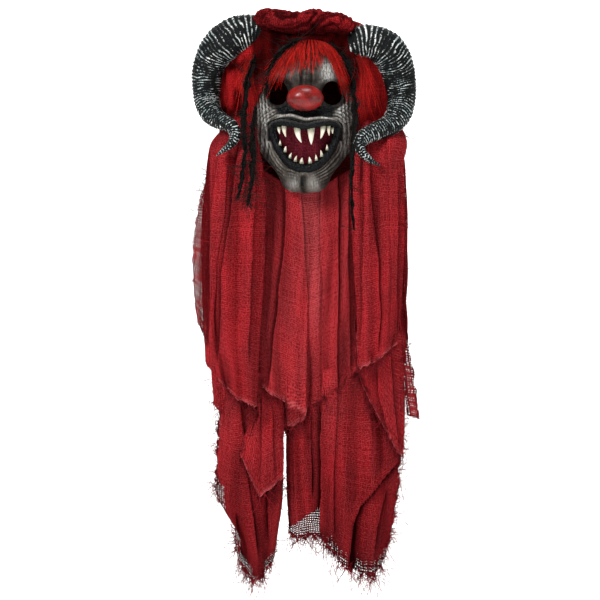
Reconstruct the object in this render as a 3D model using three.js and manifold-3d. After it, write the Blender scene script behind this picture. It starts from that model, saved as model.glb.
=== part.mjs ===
// A horned devil-clown mask of the Alpine Krampus kind: a latex face with teeth and a ball nose,
// two ram horns, torn hair and a gauze hood that falls into a long ragged shroud.
// Millimetres. +Z is up, the face looks along -Y and +X is the viewer's right.
// The origin is where the crown of the wearer's head meets the inside of the latex shell.
import * as THREE from "three";
import { mergeVertices } from "three/addons/utils/BufferGeometryUtils.js";
import Module from "manifold-3d";

const wasm = await Module();
wasm.setup();

// Driving dimensions
const FACE_LENGTH = 299; // crown to chin, outside
const FACE_HALF_WIDTH = 88;
const FACE_REACH = 100; // from the head's middle to the face
const HEAD_REACH = 98; // from the head's middle to the back of the head
const LATEX = 3;
const RELIEF = 10; // height of the strongest moulded feature
const EYE_APART = 46; // middle of the face to the middle of an eye hole
const EYE_HEIGHT = -0.425 * FACE_LENGTH;
const EYE_HALF_WIDTH = 17.5;
const EYE_HALF_TALL = 20;
const MOUTH_HALF_WIDTH = 50;
const MOUTH_TOP = -0.6254 * FACE_LENGTH;
const MOUTH_DROP = 0.204 * FACE_LENGTH;
const LIP_THICK = 7.5; // radius of the rolled lip at its thickest
const LINING = 1.5;
const NOSE_HALF_WIDTH = 31;
const NOSE_HALF_TALL = 22;
const NOSE_HALF_DEEP = 25;
const NOSE_HEIGHT = -0.458 * FACE_LENGTH;
const TOOTH_THICK = 6.5; // radius of the widest tooth at its root
const HORN_SPAN = 190; // middle of the head to the outside of a horn
const HORN_DROP = 250; // crown to the horn's tip
const HORN_FORWARD = 110; // how far a tip stands ahead of the head's middle
const HORN_GIRTH = 31; // radius at the thickest place
const HORN_RIB = 0.045; // rib height as a share of the radius
const CLOTH = 2; // gathered gauze, two or more layers pressed together
const GAP = 0.4; // between pieces that rest on each other
const TIDY = 0.1; // how far a cut face may move when needless corners are taken out
const SLACK = 2.5; // between cloth and the horn that passes through it
const HOOD_HALF_WIDTH = 136;
const HOOD_FRONT = 74;
const HOOD_BACK = 126;
const HOOD_DROP = 205; // crown to the hood's lower edge
const HOOD_LIFT = 10; // how high the hood stands above the crown
const ROLL_RADIUS = 19;
const SHROUD_LENGTH = 966; // crown to the lowest hem
const SHROUD_HALF_WIDTH = 176;
const SHROUD_BACK = 112;
const SHROUD_FRONT = 40;
const SHROUD_PLEAT = 15; // depth of the deepest pleat
const DRAPE_FRONT = 44; // how far the front drapes hang ahead of the head's middle
const LOCK_RADIUS = 7;
const HAIR_RADIUS = 4.5;

const latexFace = [0.42, 0.4, 0.38];
const gauzeRed = [0.42, 0.02, 0.035];
const hairRed = [0.65, 0.02, 0.015];
const lockBlack = [0.02, 0.02, 0.018];

// Small helpers

const clamp01 = (t) => Math.min(1, Math.max(0, t));
const mix = (a, b, t) => a + (b - a) * t;
const smooth = (t) => clamp01(t) ** 2 * (3 - 2 * clamp01(t));
const bell = (t) => Math.exp(-t * t);
const power = (t, exponent) => Math.sign(t) * Math.abs(t) ** exponent;

// The value of one column of a table at a key, on a smooth curve through its rows.
function column(rows, key, at, name) {
  const last = rows.length - 1;
  const rising = rows[last][key] > rows[0][key];
  let i = 0;
  while (i < last - 1 && (rising ? at > rows[i + 1][key] : at < rows[i + 1][key])) i += 1;
  const [a, b, c, d] = [Math.max(0, i - 1), i, i + 1, Math.min(last, i + 2)].map((k) => rows[k]);
  const t = clamp01((at - b[key]) / (c[key] - b[key]));
  const slope = (p, q) => (q[key] === p[key] ? 0 : (q[name] - p[name]) / (q[key] - p[key]));
  const span = c[key] - b[key];
  const start = slope(a, c) * span;
  const end = slope(b, d) * span;
  const t2 = t * t;
  const t3 = t2 * t;
  return (
    (2 * t3 - 3 * t2 + 1) * b[name] +
    (t3 - 2 * t2 + t) * start +
    (3 * t2 - 2 * t3) * c[name] +
    (t3 - t2) * end
  );
}

// A closed mesh as a solid, and back.
function solidOf(geometry) {
  const bare = geometry.clone();
  bare.deleteAttribute("normal");
  bare.deleteAttribute("uv");
  const merged = mergeVertices(bare, 1e-4);
  const solid = new wasm.Manifold(
    new wasm.Mesh({
      numProp: 3,
      vertProperties: merged.attributes.position.array,
      triVerts: new Uint32Array(merged.index.array),
    }),
  );
  return solid;
}

function geometryOf(solid) {
  const mesh = solid.getMesh();
  const positions = new Float32Array(mesh.numVert * 3);
  for (let i = 0; i < mesh.numVert; i += 1) {
    const from = i * mesh.numProp;
    positions.set(mesh.vertProperties.subarray(from, from + 3), i * 3);
  }
  const geometry = new THREE.BufferGeometry();
  geometry.setAttribute("position", new THREE.BufferAttribute(positions, 3));
  geometry.setIndex(new THREE.BufferAttribute(mesh.triVerts, 1));
  geometry.computeVertexNormals();
  return geometry;
}

// The largest body of a solid, which drops the slivers that a cut leaves behind.
function largest(solid) {
  if (solid.isEmpty()) throw new Error("a cut left nothing");
  const pick = (whole) => whole.decompose().reduce((a, b) => (b.volume() > a.volume() ? b : a));
  return pick(pick(solid).simplify(TIDY));
}

// A solid from a grid of points that closes on itself across, with a point at each end.
function ringSolid(rings, first, last) {
  const across = rings[0].length;
  const points = [first, ...rings.flat(), last];
  const index = [];
  const at = (i, j) => 1 + i * across + (j % across);
  for (let j = 0; j < across; j += 1) {
    index.push(0, at(0, j), at(0, j + 1));
    for (let i = 0; i < rings.length - 1; i += 1) {
      index.push(at(i, j), at(i + 1, j), at(i + 1, j + 1));
      index.push(at(i, j), at(i + 1, j + 1), at(i, j + 1));
    }
    index.push(at(rings.length - 1, j), points.length - 1, at(rings.length - 1, j + 1));
  }
  return meshSolid(points, index);
}

function meshSolid(points, index) {
  const geometry = new THREE.BufferGeometry();
  const flat = new Float32Array(points.flatMap((p) => [p.x, p.y, p.z]));
  geometry.setAttribute("position", new THREE.BufferAttribute(flat, 3));
  geometry.setIndex(index);
  const solid = solidOf(geometry);
  if (solid.volume() > 0) return solid;
  const turned = index.slice();
  for (let i = 0; i < turned.length; i += 3) [turned[i], turned[i + 1]] = [turned[i + 1], turned[i]];
  geometry.setIndex(turned);
  return solidOf(geometry);
}

// A sheet of cloth of even thickness whose middle surface is place(u, v). Spill is how far it runs on
// past its own edges, as a share of its outermost cells.
function sheetSolid(place, across, down, thick, spill = 0) {
  const step = 1e-3;
  const run = (k, count) => (k === 0 ? spill : 0) - (k === count ? spill : 0);
  const side = (way) => {
    const at = (u, v) => {
      const along = place(u + step, v).sub(place(u - step, v));
      const fall = place(u, v + step).sub(place(u, v - step));
      return place(u, v).addScaledVector(along.cross(fall).normalize(), way * thick);
    };
    let rows = Array.from({ length: down + 1 }, (_, i) =>
      Array.from({ length: across + 1 }, (_unused, j) => at(j / across, i / down)));
    rows = rows.map((row) => row.map((p, j) => {
      const next = row[j + Math.sign(run(j, across))];
      return p.clone().lerp(next, -Math.abs(run(j, across)));
    }));
    rows = rows.map((row, i) => row.map((p, j) => {
      const next = rows[i + Math.sign(run(i, down))][j];
      return p.clone().lerp(next, -Math.abs(run(i, down)));
    }));
    return rows.flat();
  };
  const points = [...side(0.5), ...side(-0.5)];
  const index = [];
  const half = (across + 1) * (down + 1);
  const at = (face, i, j) => face * half + i * (across + 1) + j;
  const quad = (a, b, c, d) => index.push(a, b, c, a, c, d);
  for (let i = 0; i < down; i += 1) {
    for (let j = 0; j < across; j += 1) {
      quad(at(0, i, j), at(0, i, j + 1), at(0, i + 1, j + 1), at(0, i + 1, j));
      quad(at(1, i, j), at(1, i + 1, j), at(1, i + 1, j + 1), at(1, i, j + 1));
    }
    quad(at(0, i, 0), at(0, i + 1, 0), at(1, i + 1, 0), at(1, i, 0));
    quad(at(0, i, across), at(1, i, across), at(1, i + 1, across), at(0, i + 1, across));
  }
  for (let j = 0; j < across; j += 1) {
    quad(at(0, 0, j), at(1, 0, j), at(1, 0, j + 1), at(0, 0, j + 1));
    quad(at(0, down, j), at(0, down, j + 1), at(1, down, j + 1), at(1, down, j));
  }
  return meshSolid(points, index);
}

// A tapering tube along stations of {point, radius}, with a section that outline(angle, i) shapes.
function tubeSolid(stations, sides, outline = () => 1) {
  const curve = new THREE.CatmullRomCurve3(stations.map((s) => s.point));
  const tangents = stations.map((s, i) => {
    const before = stations[Math.max(0, i - 1)].point;
    const after = stations[Math.min(stations.length - 1, i + 1)].point;
    return after.clone().sub(before).normalize();
  });
  let normal = new THREE.Vector3(0, -1, 0);
  const rings = stations.map((station, i) => {
    const tangent = tangents[i];
    normal = normal.clone().addScaledVector(tangent, -normal.dot(tangent)).normalize();
    const binormal = tangent.clone().cross(normal);
    return Array.from({ length: sides }, (_, j) => {
      const angle = (j / sides) * 2 * Math.PI;
      const reach = station.radius * outline(angle, i);
      return station.point
        .clone()
        .addScaledVector(normal, Math.cos(angle) * reach * (station.flat ?? 1))
        .addScaledVector(binormal, Math.sin(angle) * reach);
    });
  });
  return ringSolid(rings, curve.points[0].clone(), curve.points.at(-1).clone());
}

// Even stations along a smooth line through table rows that already hold a point and a radius.
function stationsAlong(rows, count) {
  const curve = new THREE.CatmullRomCurve3(rows.map((row) => row.point), false, "centripetal");
  return Array.from({ length: count + 1 }, (_, i) => {
    const t = i / count;
    const at = t * (rows.length - 1);
    const k = Math.min(rows.length - 2, Math.floor(at));
    return { point: curve.getPoint(t), radius: mix(rows[k].radius, rows[k + 1].radius, at - k) };
  });
}

// The head: level rings, each a share of the face's sizes
const HEAD_RINGS = [
  { up: -0.98, wide: 0.27, front: 0.88, middle: 0.74, back: -0.6 },
  { up: -0.955, wide: 0.4, front: 0.965, middle: 0.66, back: -0.35 },
  { up: -0.88, wide: 0.53, front: 1.0, middle: 0.52, back: 0.05 },
  { up: -0.81, wide: 0.71, front: 1.0, middle: 0.36, back: 0.4 },
  { up: -0.745, wide: 0.865, front: 1.03, middle: 0.2, back: 0.6 },
  { up: -0.68, wide: 0.945, front: 1.06, middle: 0.08, back: 0.8 },
  { up: -0.6, wide: 0.99, front: 1.08, middle: 0.0, back: 0.9 },
  { up: -0.5, wide: 1.0, front: 1.02, middle: 0.0, back: 0.97 },
  { up: -0.41, wide: 0.99, front: 0.95, middle: 0.0, back: 0.99 },
  { up: -0.32, wide: 0.985, front: 0.99, middle: 0.0, back: 1.0 },
  { up: -0.23, wide: 0.97, front: 0.96, middle: 0.0, back: 0.98 },
  { up: -0.14, wide: 0.92, front: 0.85, middle: 0.0, back: 0.9 },
  { up: -0.075, wide: 0.81, front: 0.69, middle: 0.0, back: 0.77 },
  { up: -0.025, wide: 0.6, front: 0.46, middle: 0.0, back: 0.56 },
  { up: 0.002, wide: 0.3, front: 0.22, middle: 0.0, back: 0.28 },
];
const HEAD_CROWN_UP = 0.01;
const HEAD_CHIN_UP = -0.99;
const HEAD_CHIN_FORWARD = 0.75;
const HEAD_ROUND = 0.88; // exponent of the ring's outline, under 1 for a squarer head

// Moulded features: middle, half sizes and rise, as shares of the face's sizes and the relief
const FEATURES = [
  { name: "brow", across: 0.42, up: -0.335, wide: 0.4, tall: 0.045, rise: 0.95 },
  { name: "eye_socket", across: 0.53, up: -0.43, wide: 0.3, tall: 0.075, rise: -1.7 },
  { name: "cheekbone", across: 0.66, up: -0.55, wide: 0.26, tall: 0.06, rise: 1.15 },
  { name: "cheek_hollow", across: 0.82, up: -0.7, wide: 0.2, tall: 0.07, rise: -0.35 },
  { name: "muzzle", across: 0.25, up: -0.59, wide: 0.45, tall: 0.045, rise: 0.8 },
  { name: "temple", across: 0.85, up: -0.26, wide: 0.2, tall: 0.07, rise: -0.4 },
  { name: "chin_ball", across: 0.16, up: -0.945, wide: 0.15, tall: 0.04, rise: 0.75 },
];
const CHIN_CLEFT = { up: -0.945, wide: 0.05, tall: 0.05, rise: -0.5 };
const BROW_CLEFT = { up: -0.36, wide: 0.1, tall: 0.05, rise: -0.5 };

function relief(x, z) {
  const [across, up] = [x / FACE_HALF_WIDTH, z / FACE_LENGTH];
  let rise = 0;
  for (const f of FEATURES) {
    const tall = bell((up - f.up) / f.tall);
    rise += f.rise * tall * (bell((across - f.across) / f.wide) + bell((across + f.across) / f.wide));
  }
  for (const f of [CHIN_CLEFT, BROW_CLEFT]) {
    rise += f.rise * bell(across / f.wide) * bell((up - f.up) / f.tall);
  }
  return rise * RELIEF;
}

// A point of the head's skin at a level and a turn from the front, before any offset.
function headPoint(turn, up) {
  const ring = (name) => column(HEAD_RINGS, "up", up, name);
  const [sine, cosine] = [Math.sin(turn), Math.cos(turn)];
  const middle = -ring("middle") * FACE_REACH;
  const x = ring("wide") * FACE_HALF_WIDTH * power(sine, HEAD_ROUND);
  const z = up * FACE_LENGTH;
  const reach = cosine > 0 ? -ring("front") * FACE_REACH - middle : middle - ring("back") * HEAD_REACH;
  const y = middle + reach * power(cosine, HEAD_ROUND);
  const lift = relief(x, z) * smooth(cosine * 2.2);
  return new THREE.Vector3(x, y - lift, z);
}

// How far forward the face stands at a place seen from the front.
function faceY(x, z) {
  const up = z / FACE_LENGTH;
  const ring = (name) => column(HEAD_RINGS, "up", up, name);
  const middle = -ring("middle") * FACE_REACH;
  const share = clamp01(Math.abs(x) / (ring("wide") * FACE_HALF_WIDTH));
  const sine = share ** (1 / HEAD_ROUND);
  const cosine = Math.sqrt(Math.max(0, 1 - sine * sine));
  const front = -ring("front") * FACE_REACH;
  return middle + (front - middle) * cosine ** HEAD_ROUND - relief(x, z) * smooth(cosine * 2.2);
}

// The head as a closed solid, grown or shrunk by an offset along its normals.
const HEAD_AROUND = 24;
const HEAD_LEVELS = 18;
function headSolid(offset) {
  const step = 1e-3;
  const low = HEAD_RINGS[0].up;
  const high = HEAD_RINGS.at(-1).up;
  const rings = Array.from({ length: HEAD_LEVELS + 1 }, (_, i) => {
    const up = mix(low, high, i / HEAD_LEVELS);
    return Array.from({ length: HEAD_AROUND }, (_unused, j) => {
      const even = (j / HEAD_AROUND) * 2 * Math.PI;
      const turn = even - 0.35 * Math.sin(even); // closer columns over the face
      const around = headPoint(turn + step, up).sub(headPoint(turn - step, up));
      const above = Math.min(high, up + step);
      const below = Math.max(low, up - step);
      const rise = headPoint(turn, above).sub(headPoint(turn, below));
      return headPoint(turn, up).addScaledVector(around.cross(rise).normalize(), offset);
    });
  });
  const chin = new THREE.Vector3(0, -HEAD_CHIN_FORWARD * FACE_REACH, HEAD_CHIN_UP * FACE_LENGTH - offset);
  const crown = new THREE.Vector3(0, 0, HEAD_CROWN_UP * FACE_LENGTH + offset);
  return ringSolid(rings, chin, crown);
}

// A prism along Y through an outline of {x, z}, from y0 to y1.
function prismY(outline, y0, y1) {
  const shape = new THREE.Shape(outline.map((p) => new THREE.Vector2(p.x, p.z)));
  const geometry = new THREE.ExtrudeGeometry(shape, { depth: y1 - y0, bevelEnabled: false, steps: 1 });
  geometry.rotateX(Math.PI / 2);
  geometry.translate(0, y1, 0);
  return solidOf(geometry);
}

// A prism along X through an outline of {y, z}, over the whole width of the head.
function prismX(outline, half) {
  const shape = new THREE.Shape(outline.map((p) => new THREE.Vector2(p.y, p.z)));
  const geometry = new THREE.ExtrudeGeometry(shape, { depth: 2 * half, bevelEnabled: false, steps: 1 });
  geometry.applyMatrix4(new THREE.Matrix4().makeBasis(
    new THREE.Vector3(0, 1, 0),
    new THREE.Vector3(0, 0, 1),
    new THREE.Vector3(1, 0, 0),
  ));
  geometry.translate(-half, 0, 0);
  return solidOf(geometry);
}

// The mouth's outline, anticlockwise from its left corner, as shares of its size
const MOUTH_OUTLINE = [
  { across: -1, up: -0.04 },
  { across: -0.94, up: -0.3 },
  { across: -0.74, up: -0.62 },
  { across: -0.42, up: -0.9 },
  { across: 0, up: -1 },
  { across: 0.42, up: -0.9 },
  { across: 0.74, up: -0.62 },
  { across: 0.94, up: -0.3 },
  { across: 1, up: -0.04 },
  { across: 0.8, up: 0.05 },
  { across: 0.4, up: 0.02 },
  { across: 0, up: -0.04 },
  { across: -0.4, up: 0.02 },
  { across: -0.8, up: 0.05 },
];

function mouthPoints(count, grow) {
  const curve = new THREE.CatmullRomCurve3(
    MOUTH_OUTLINE.map((p) => new THREE.Vector3(p.across, 0, p.up)),
    true,
    "centripetal",
  );
  return Array.from({ length: count }, (_, i) => {
    const p = curve.getPoint(i / count);
    const middle = -0.45;
    return {
      x: p.x * (MOUTH_HALF_WIDTH + grow),
      z: MOUTH_TOP + middle * MOUTH_DROP + (p.z - middle) * (MOUTH_DROP + 2 * grow),
    };
  });
}

const LIP_SET = 0.8; // how far outside the mouth's edge the lip is centred, per its radius
const LIP_STATIONS = 24;
const LIP_SIDES = 6;
function lipRing(grow) {
  const rings = mouthPoints(LIP_STATIONS, LIP_THICK * LIP_SET).map((p, i, all) => {
    const next = all[(i + 1) % all.length];
    const before = all[(i + all.length - 1) % all.length];
    const along = new THREE.Vector3(next.x - before.x, 0, next.z - before.z).normalize();
    const outward = new THREE.Vector3(-along.z, 0, along.x);
    const low = clamp01((MOUTH_TOP - p.z) / MOUTH_DROP);
    const radius = LIP_THICK * mix(0.72, 1, low) + grow;
    const middle = new THREE.Vector3(p.x, faceY(p.x, p.z) + LATEX / 2, p.z);
    return Array.from({ length: LIP_SIDES }, (_, j) => {
      const angle = (j / LIP_SIDES) * 2 * Math.PI;
      return middle
        .clone()
        .addScaledVector(outward, Math.cos(angle) * radius)
        .add(new THREE.Vector3(0, -Math.sin(angle) * radius, 0));
    });
  });
  const points = rings.flat();
  const index = [];
  for (let i = 0; i < LIP_STATIONS; i += 1) {
    for (let j = 0; j < LIP_SIDES; j += 1) {
      const at = (a, b) => (a % LIP_STATIONS) * LIP_SIDES + (b % LIP_SIDES);
      index.push(at(i, j), at(i + 1, j), at(i + 1, j + 1), at(i, j), at(i + 1, j + 1), at(i, j + 1));
    }
  }
  return meshSolid(points, index);
}

// The open back and underside of the mask, as shares of the head's depth and the face's length
const OPEN_BACK = [
  { back: 1.6, up: -0.2 },
  { back: 0.7, up: -0.24 },
  { back: 0.12, up: -0.5 },
  { back: -0.02, up: -0.66 },
  { back: -0.3, up: -0.86 },
  { back: -0.5, up: -1.2 },
  { back: 1.6, up: -1.2 },
];

function backCutter() {
  return prismX(
    OPEN_BACK.map((p) => ({ y: p.back * HEAD_REACH, z: p.up * FACE_LENGTH })),
    FACE_HALF_WIDTH * 1.5,
  );
}

function eyeCutter(side) {
  const outline = Array.from({ length: 12 }, (_, i) => {
    const angle = (i / 12) * 2 * Math.PI;
    return {
      x: side * EYE_APART + Math.cos(angle) * EYE_HALF_WIDTH,
      z: EYE_HEIGHT + Math.sin(angle) * EYE_HALF_TALL,
    };
  });
  return prismY(outline, -FACE_REACH * 1.5, 0);
}

function faceShell(outer, inner) {
  const mouth = prismY(mouthPoints(LIP_STATIONS, 0), -FACE_REACH * 1.6, 0);
  const bare = outer.subtract(inner).subtract(backCutter()).subtract(eyeCutter(-1)).subtract(eyeCutter(1));
  return largest(bare.subtract(mouth).add(lipRing(0)));
}

// The red gauze behind the open mouth, just inside the shell
const LINING_SPARE = 11; // how far it runs past the mouth all round
function mouthLining() {
  const place = (u, v) => {
    const z = MOUTH_TOP + LINING_SPARE - v * (MOUTH_DROP + 2 * LINING_SPARE);
    const x = (2 * u - 1) * (MOUTH_HALF_WIDTH + LINING_SPARE) * Math.sqrt(1.05 - 0.75 * clamp01(v) ** 2);
    const behind = LATEX / 2 + LIP_THICK + 2 * GAP + LINING;
    return new THREE.Vector3(x, faceY(x, z) + behind, z);
  };
  return largest(sheetSolid(place, 6, 5, LINING).subtract(lipRing(GAP)).intersect(headSolid(-LATEX - GAP)));
}

function noseBall(seat) {
  const ball = solidOf(new THREE.SphereGeometry(1, 12, 8).scale(NOSE_HALF_WIDTH, NOSE_HALF_DEEP, NOSE_HALF_TALL)
    .translate(0, faceY(0, NOSE_HEIGHT) - NOSE_HALF_DEEP * 0.55, NOSE_HEIGHT));
  return largest(ball.subtract(seat));
}

// Teeth: place along the gum, length as a share of the mouth's drop, root as a share of the thickest
// tooth and the lean of the tip as a share of the length
const UPPER_TEETH = [
  { across: -0.88, long: 0.17, root: 0.5, lean: 0.12 },
  { across: -0.71, long: 0.28, root: 0.66, lean: 0.2 },
  { across: -0.26, long: 0.38, root: 0.92, lean: 0.3 },
  { across: 0.2, long: 0.42, root: 1, lean: 0.02 },
  { across: 0.6, long: 0.32, root: 0.75, lean: -0.2 },
  { across: 0.79, long: 0.24, root: 0.56, lean: 0.08 },
  { across: 0.92, long: 0.15, root: 0.42, lean: 0.05 },
];
const LOWER_TEETH = [
  { across: -0.84, long: 0.13, root: 0.4, lean: 0 },
  { across: -0.67, long: 0.15, root: 0.46, lean: 0.15 },
  { across: -0.51, long: 0.14, root: 0.42, lean: 0.35 },
  { across: -0.33, long: 0.15, root: 0.46, lean: 0.3 },
  { across: -0.12, long: 0.16, root: 0.6, lean: 0.12 },
  { across: 0.17, long: 0.17, root: 0.56, lean: -0.15 },
  { across: 0.38, long: 0.15, root: 0.42, lean: -0.12 },
  { across: 0.56, long: 0.17, root: 0.46, lean: -0.18 },
  { across: 0.74, long: 0.14, root: 0.4, lean: 0 },
];

// The level of the mouth's edge at a place across it, above or below.
function mouthEdge(across, above) {
  const near = mouthPoints(96, 0)
    .filter((p) => (above ? p.z > MOUTH_TOP - MOUTH_DROP * 0.16 : p.z < MOUTH_TOP - MOUTH_DROP * 0.04))
    .reduce((a, b) => (Math.abs(b.x - across) < Math.abs(a.x - across) ? b : a));
  return near.z;
}

function tooth(row, above, cutter) {
  const x = row.across * MOUTH_HALF_WIDTH;
  const way = above ? -1 : 1;
  const radius = row.root * TOOTH_THICK;
  const slant = 0.5 * radius * Math.abs(row.across);
  const edge = mouthEdge(x, above) + way * (LIP_THICK * (1 - LIP_SET) - 0.5 * GAP + slant * (above ? 0 : 1));
  const long = row.long * MOUTH_DROP;
  const y = faceY(x, edge) + LATEX * 0.3;
  const stations = [0, 0.5, 0.97].map((t) => ({
    point: new THREE.Vector3(x + row.lean * long * t * t, y + long * 0.06 * Math.sin(t * 3), edge + way * long * t),
    radius: radius * (1 - t) ** 0.6,
    flat: 0.75,
  }));
  return largest(tubeSolid(stations, 5).subtract(cutter));
}

// Horns: middle line and radius as shares of the horn's sizes, from the root to the tip
const RIGHT_HORN = [
  { across: 0.34, up: -0.176, forward: 0.27, girth: 0.7 },
  { across: 0.43, up: -0.156, forward: 0.36, girth: 0.78 },
  { across: 0.574, up: -0.144, forward: 0.4, girth: 0.88 },
  { across: 0.716, up: -0.19, forward: 0.36, girth: 0.97 },
  { across: 0.808, up: -0.284, forward: 0.24, girth: 0.94 },
  { across: 0.853, up: -0.408, forward: 0.13, girth: 0.88 },
  { across: 0.866, up: -0.524, forward: 0.12, girth: 0.77 },
  { across: 0.842, up: -0.632, forward: 0.22, girth: 0.68 },
  { across: 0.76, up: -0.714, forward: 0.4, girth: 0.58 },
  { across: 0.637, up: -0.76, forward: 0.62, girth: 0.5 },
  { across: 0.521, up: -0.808, forward: 0.81, girth: 0.41 },
  { across: 0.478, up: -0.862, forward: 0.9, girth: 0.31 },
  { across: 0.516, up: -0.922, forward: 0.95, girth: 0.24 },
  { across: 0.584, up: -0.968, forward: 0.98, girth: 0.16 },
  { across: 0.66, up: -1, forward: 1, girth: 0.04 },
];
const LEFT_HORN = [
  { across: -0.35, up: -0.1, forward: 0.24, girth: 0.74 },
  { across: -0.475, up: -0.076, forward: 0.34, girth: 0.86 },
  { across: -0.6, up: -0.094, forward: 0.38, girth: 0.98 },
  { across: -0.71, up: -0.146, forward: 0.36, girth: 1 },
  { across: -0.812, up: -0.224, forward: 0.26, girth: 0.92 },
  { across: -0.868, up: -0.32, forward: 0.17, girth: 0.84 },
  { across: -0.885, up: -0.42, forward: 0.12, girth: 0.78 },
  { across: -0.882, up: -0.524, forward: 0.12, girth: 0.71 },
  { across: -0.858, up: -0.602, forward: 0.2, girth: 0.63 },
  { across: -0.804, up: -0.662, forward: 0.35, girth: 0.54 },
  { across: -0.726, up: -0.7, forward: 0.54, girth: 0.44 },
  { across: -0.65, up: -0.736, forward: 0.7, girth: 0.36 },
  { across: -0.622, up: -0.796, forward: 0.8, girth: 0.29 },
  { across: -0.652, up: -0.85, forward: 0.86, girth: 0.23 },
  { across: -0.715, up: -0.892, forward: 0.9, girth: 0.15 },
  { across: -0.784, up: -0.932, forward: 0.93, girth: 0.04 },
];
const HORN_STATIONS = 26;
const HORN_SIDES = 10;

function hornSolid(rows, grow, ribbed) {
  const placed = rows.map((row) => ({
    point: new THREE.Vector3(row.across * HORN_SPAN, -row.forward * HORN_FORWARD, row.up * HORN_DROP),
    radius: row.girth * HORN_GIRTH + grow,
  }));
  const stations = stationsAlong(placed, HORN_STATIONS);
  const outline = (angle, i) => {
    const rib = ribbed && i > 0 ? HORN_RIB * (i % 2 ? -1 : 1) : 0;
    const keel = 0.05 * Math.cos(2 * angle);
    return 1 + rib - keel;
  };
  return tubeSolid(stations, HORN_SIDES, outline);
}

// The hood: level rings as shares of its sizes, from its lower edge to its top
const HOOD_RINGS = [
  { up: -1, wide: 1.08, front: 0.42, back: 1.0 },
  { up: -0.85, wide: 1.05, front: 0.5, back: 1.02 },
  { up: -0.65, wide: 1.02, front: 0.62, back: 1.03 },
  { up: -0.45, wide: 1.0, front: 0.78, back: 1.02 },
  { up: -0.28, wide: 0.98, front: 0.92, back: 0.98 },
  { up: -0.14, wide: 0.9, front: 0.98, back: 0.88 },
  { up: -0.05, wide: 0.78, front: 0.92, back: 0.74 },
  { up: 0.01, wide: 0.6, front: 0.76, back: 0.54 },
  { up: 0.036, wide: 0.34, front: 0.44, back: 0.3 },
];
const HOOD_AROUND = 24;
const HOOD_LEVELS = 6;
const HOOD_GATHERS = 6; // folds that run down from the crown
const HOOD_GATHER = 4; // their depth

function hoodSolid(offset) {
  const rings = Array.from({ length: HOOD_LEVELS + 1 }, (_, i) => {
    const t = (i / HOOD_LEVELS) ** 0.8;
    const up = mix(HOOD_RINGS[0].up, HOOD_RINGS.at(-1).up, t);
    const ring = (name) => column(HOOD_RINGS, "up", up, name);
    return Array.from({ length: HOOD_AROUND }, (_unused, j) => {
      const turn = (j / HOOD_AROUND) * 2 * Math.PI;
      const gather = HOOD_GATHER * Math.sin(turn * HOOD_GATHERS + 2 * up) * smooth(-up * 2.5);
      const reach = (Math.cos(turn) > 0 ? ring("front") * HOOD_FRONT : ring("back") * HOOD_BACK) + offset + gather;
      const wide = ring("wide") * HOOD_HALF_WIDTH + offset + gather;
      return new THREE.Vector3(
        wide * Math.sin(turn),
        -reach * Math.cos(turn),
        up * HOOD_DROP + offset * smooth((up + 0.3) * 3) + (i === 0 && offset < 0 ? -4 * CLOTH : 0),
      );
    });
  });
  const top = new THREE.Vector3(0, 0, HOOD_LIFT + offset);
  const bottom = new THREE.Vector3(0, 0, -HOOD_DROP - (offset < 0 ? 5 * CLOTH : 0));
  return ringSolid(rings, bottom, top);
}

// The hood's face opening, as shares of the face's half width and length
const FACE_OPENING = [
  { across: 1.12, up: -1.2 },
  { across: 1.1, up: -0.5 },
  { across: 1.06, up: -0.32 },
  { across: 0.9, up: -0.19 },
  { across: 0.6, up: -0.11 },
  { across: 0.2, up: -0.085 },
];

function hood(horns) {
  const right = FACE_OPENING.map((p) => ({ x: p.across * FACE_HALF_WIDTH, z: p.up * FACE_LENGTH }));
  const left = right.map((p) => ({ x: -p.x, z: p.z })).reverse();
  const opening = prismY([...right, ...left], -FACE_REACH * 2, 0);
  let cloth = hoodSolid(0).subtract(hoodSolid(-CLOTH)).subtract(opening);
  for (const horn of horns) cloth = cloth.subtract(horn);
  return largest(cloth);
}

// The rolled band of gauze over the brow: middle line as shares of the hood's sizes
const BROW_ROLL = [
  { across: -0.62, up: -0.01, front: 0.5, thick: 0.5 },
  { across: -0.5, up: 0.0, front: 0.74, thick: 0.82 },
  { across: -0.3, up: -0.02, front: 0.98, thick: 1 },
  { across: -0.08, up: -0.045, front: 1.1, thick: 0.92 },
  { across: 0.14, up: -0.03, front: 1.08, thick: 1 },
  { across: 0.34, up: -0.035, front: 0.96, thick: 1.02 },
  { across: 0.5, up: -0.05, front: 0.78, thick: 0.8 },
  { across: 0.6, up: -0.05, front: 0.62, thick: 0.45 },
];

function browRoll(cutters) {
  const rows = BROW_ROLL.map((row) => ({
    point: new THREE.Vector3(
      row.across * HOOD_HALF_WIDTH,
      -row.front * HOOD_FRONT,
      row.up * HOOD_DROP,
    ),
    radius: row.thick * ROLL_RADIUS,
  }));
  const outline = (angle, i) => 1 + 0.09 * Math.sin(3 * angle + 1.1 * i);
  let roll = tubeSolid(stationsAlong(rows, 14), 8, outline);
  for (const cutter of cutters) roll = roll.subtract(cutter);
  return largest(roll);
}

// The shroud: sections down its length, as shares of its half width and depths
const SHROUD_SECTIONS = [
  { down: 0, wide: 0.76, front: 0.5, back: 1.06, opening: 62, pleat: 0.1 },
  { down: 0.07, wide: 0.9, front: 0.62, back: 1.1, opening: 58, pleat: 0.4 },
  { down: 0.22, wide: 0.93, front: 0.8, back: 1.02, opening: 52, pleat: 0.7 },
  { down: 0.45, wide: 0.93, front: 0.9, back: 0.9, opening: 46, pleat: 0.9 },
  { down: 0.7, wide: 0.93, front: 0.86, back: 0.8, opening: 42, pleat: 0.9 },
  { down: 1, wide: 0.9, front: 0.7, back: 0.7, opening: 40, pleat: 0.8 },
];
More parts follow.
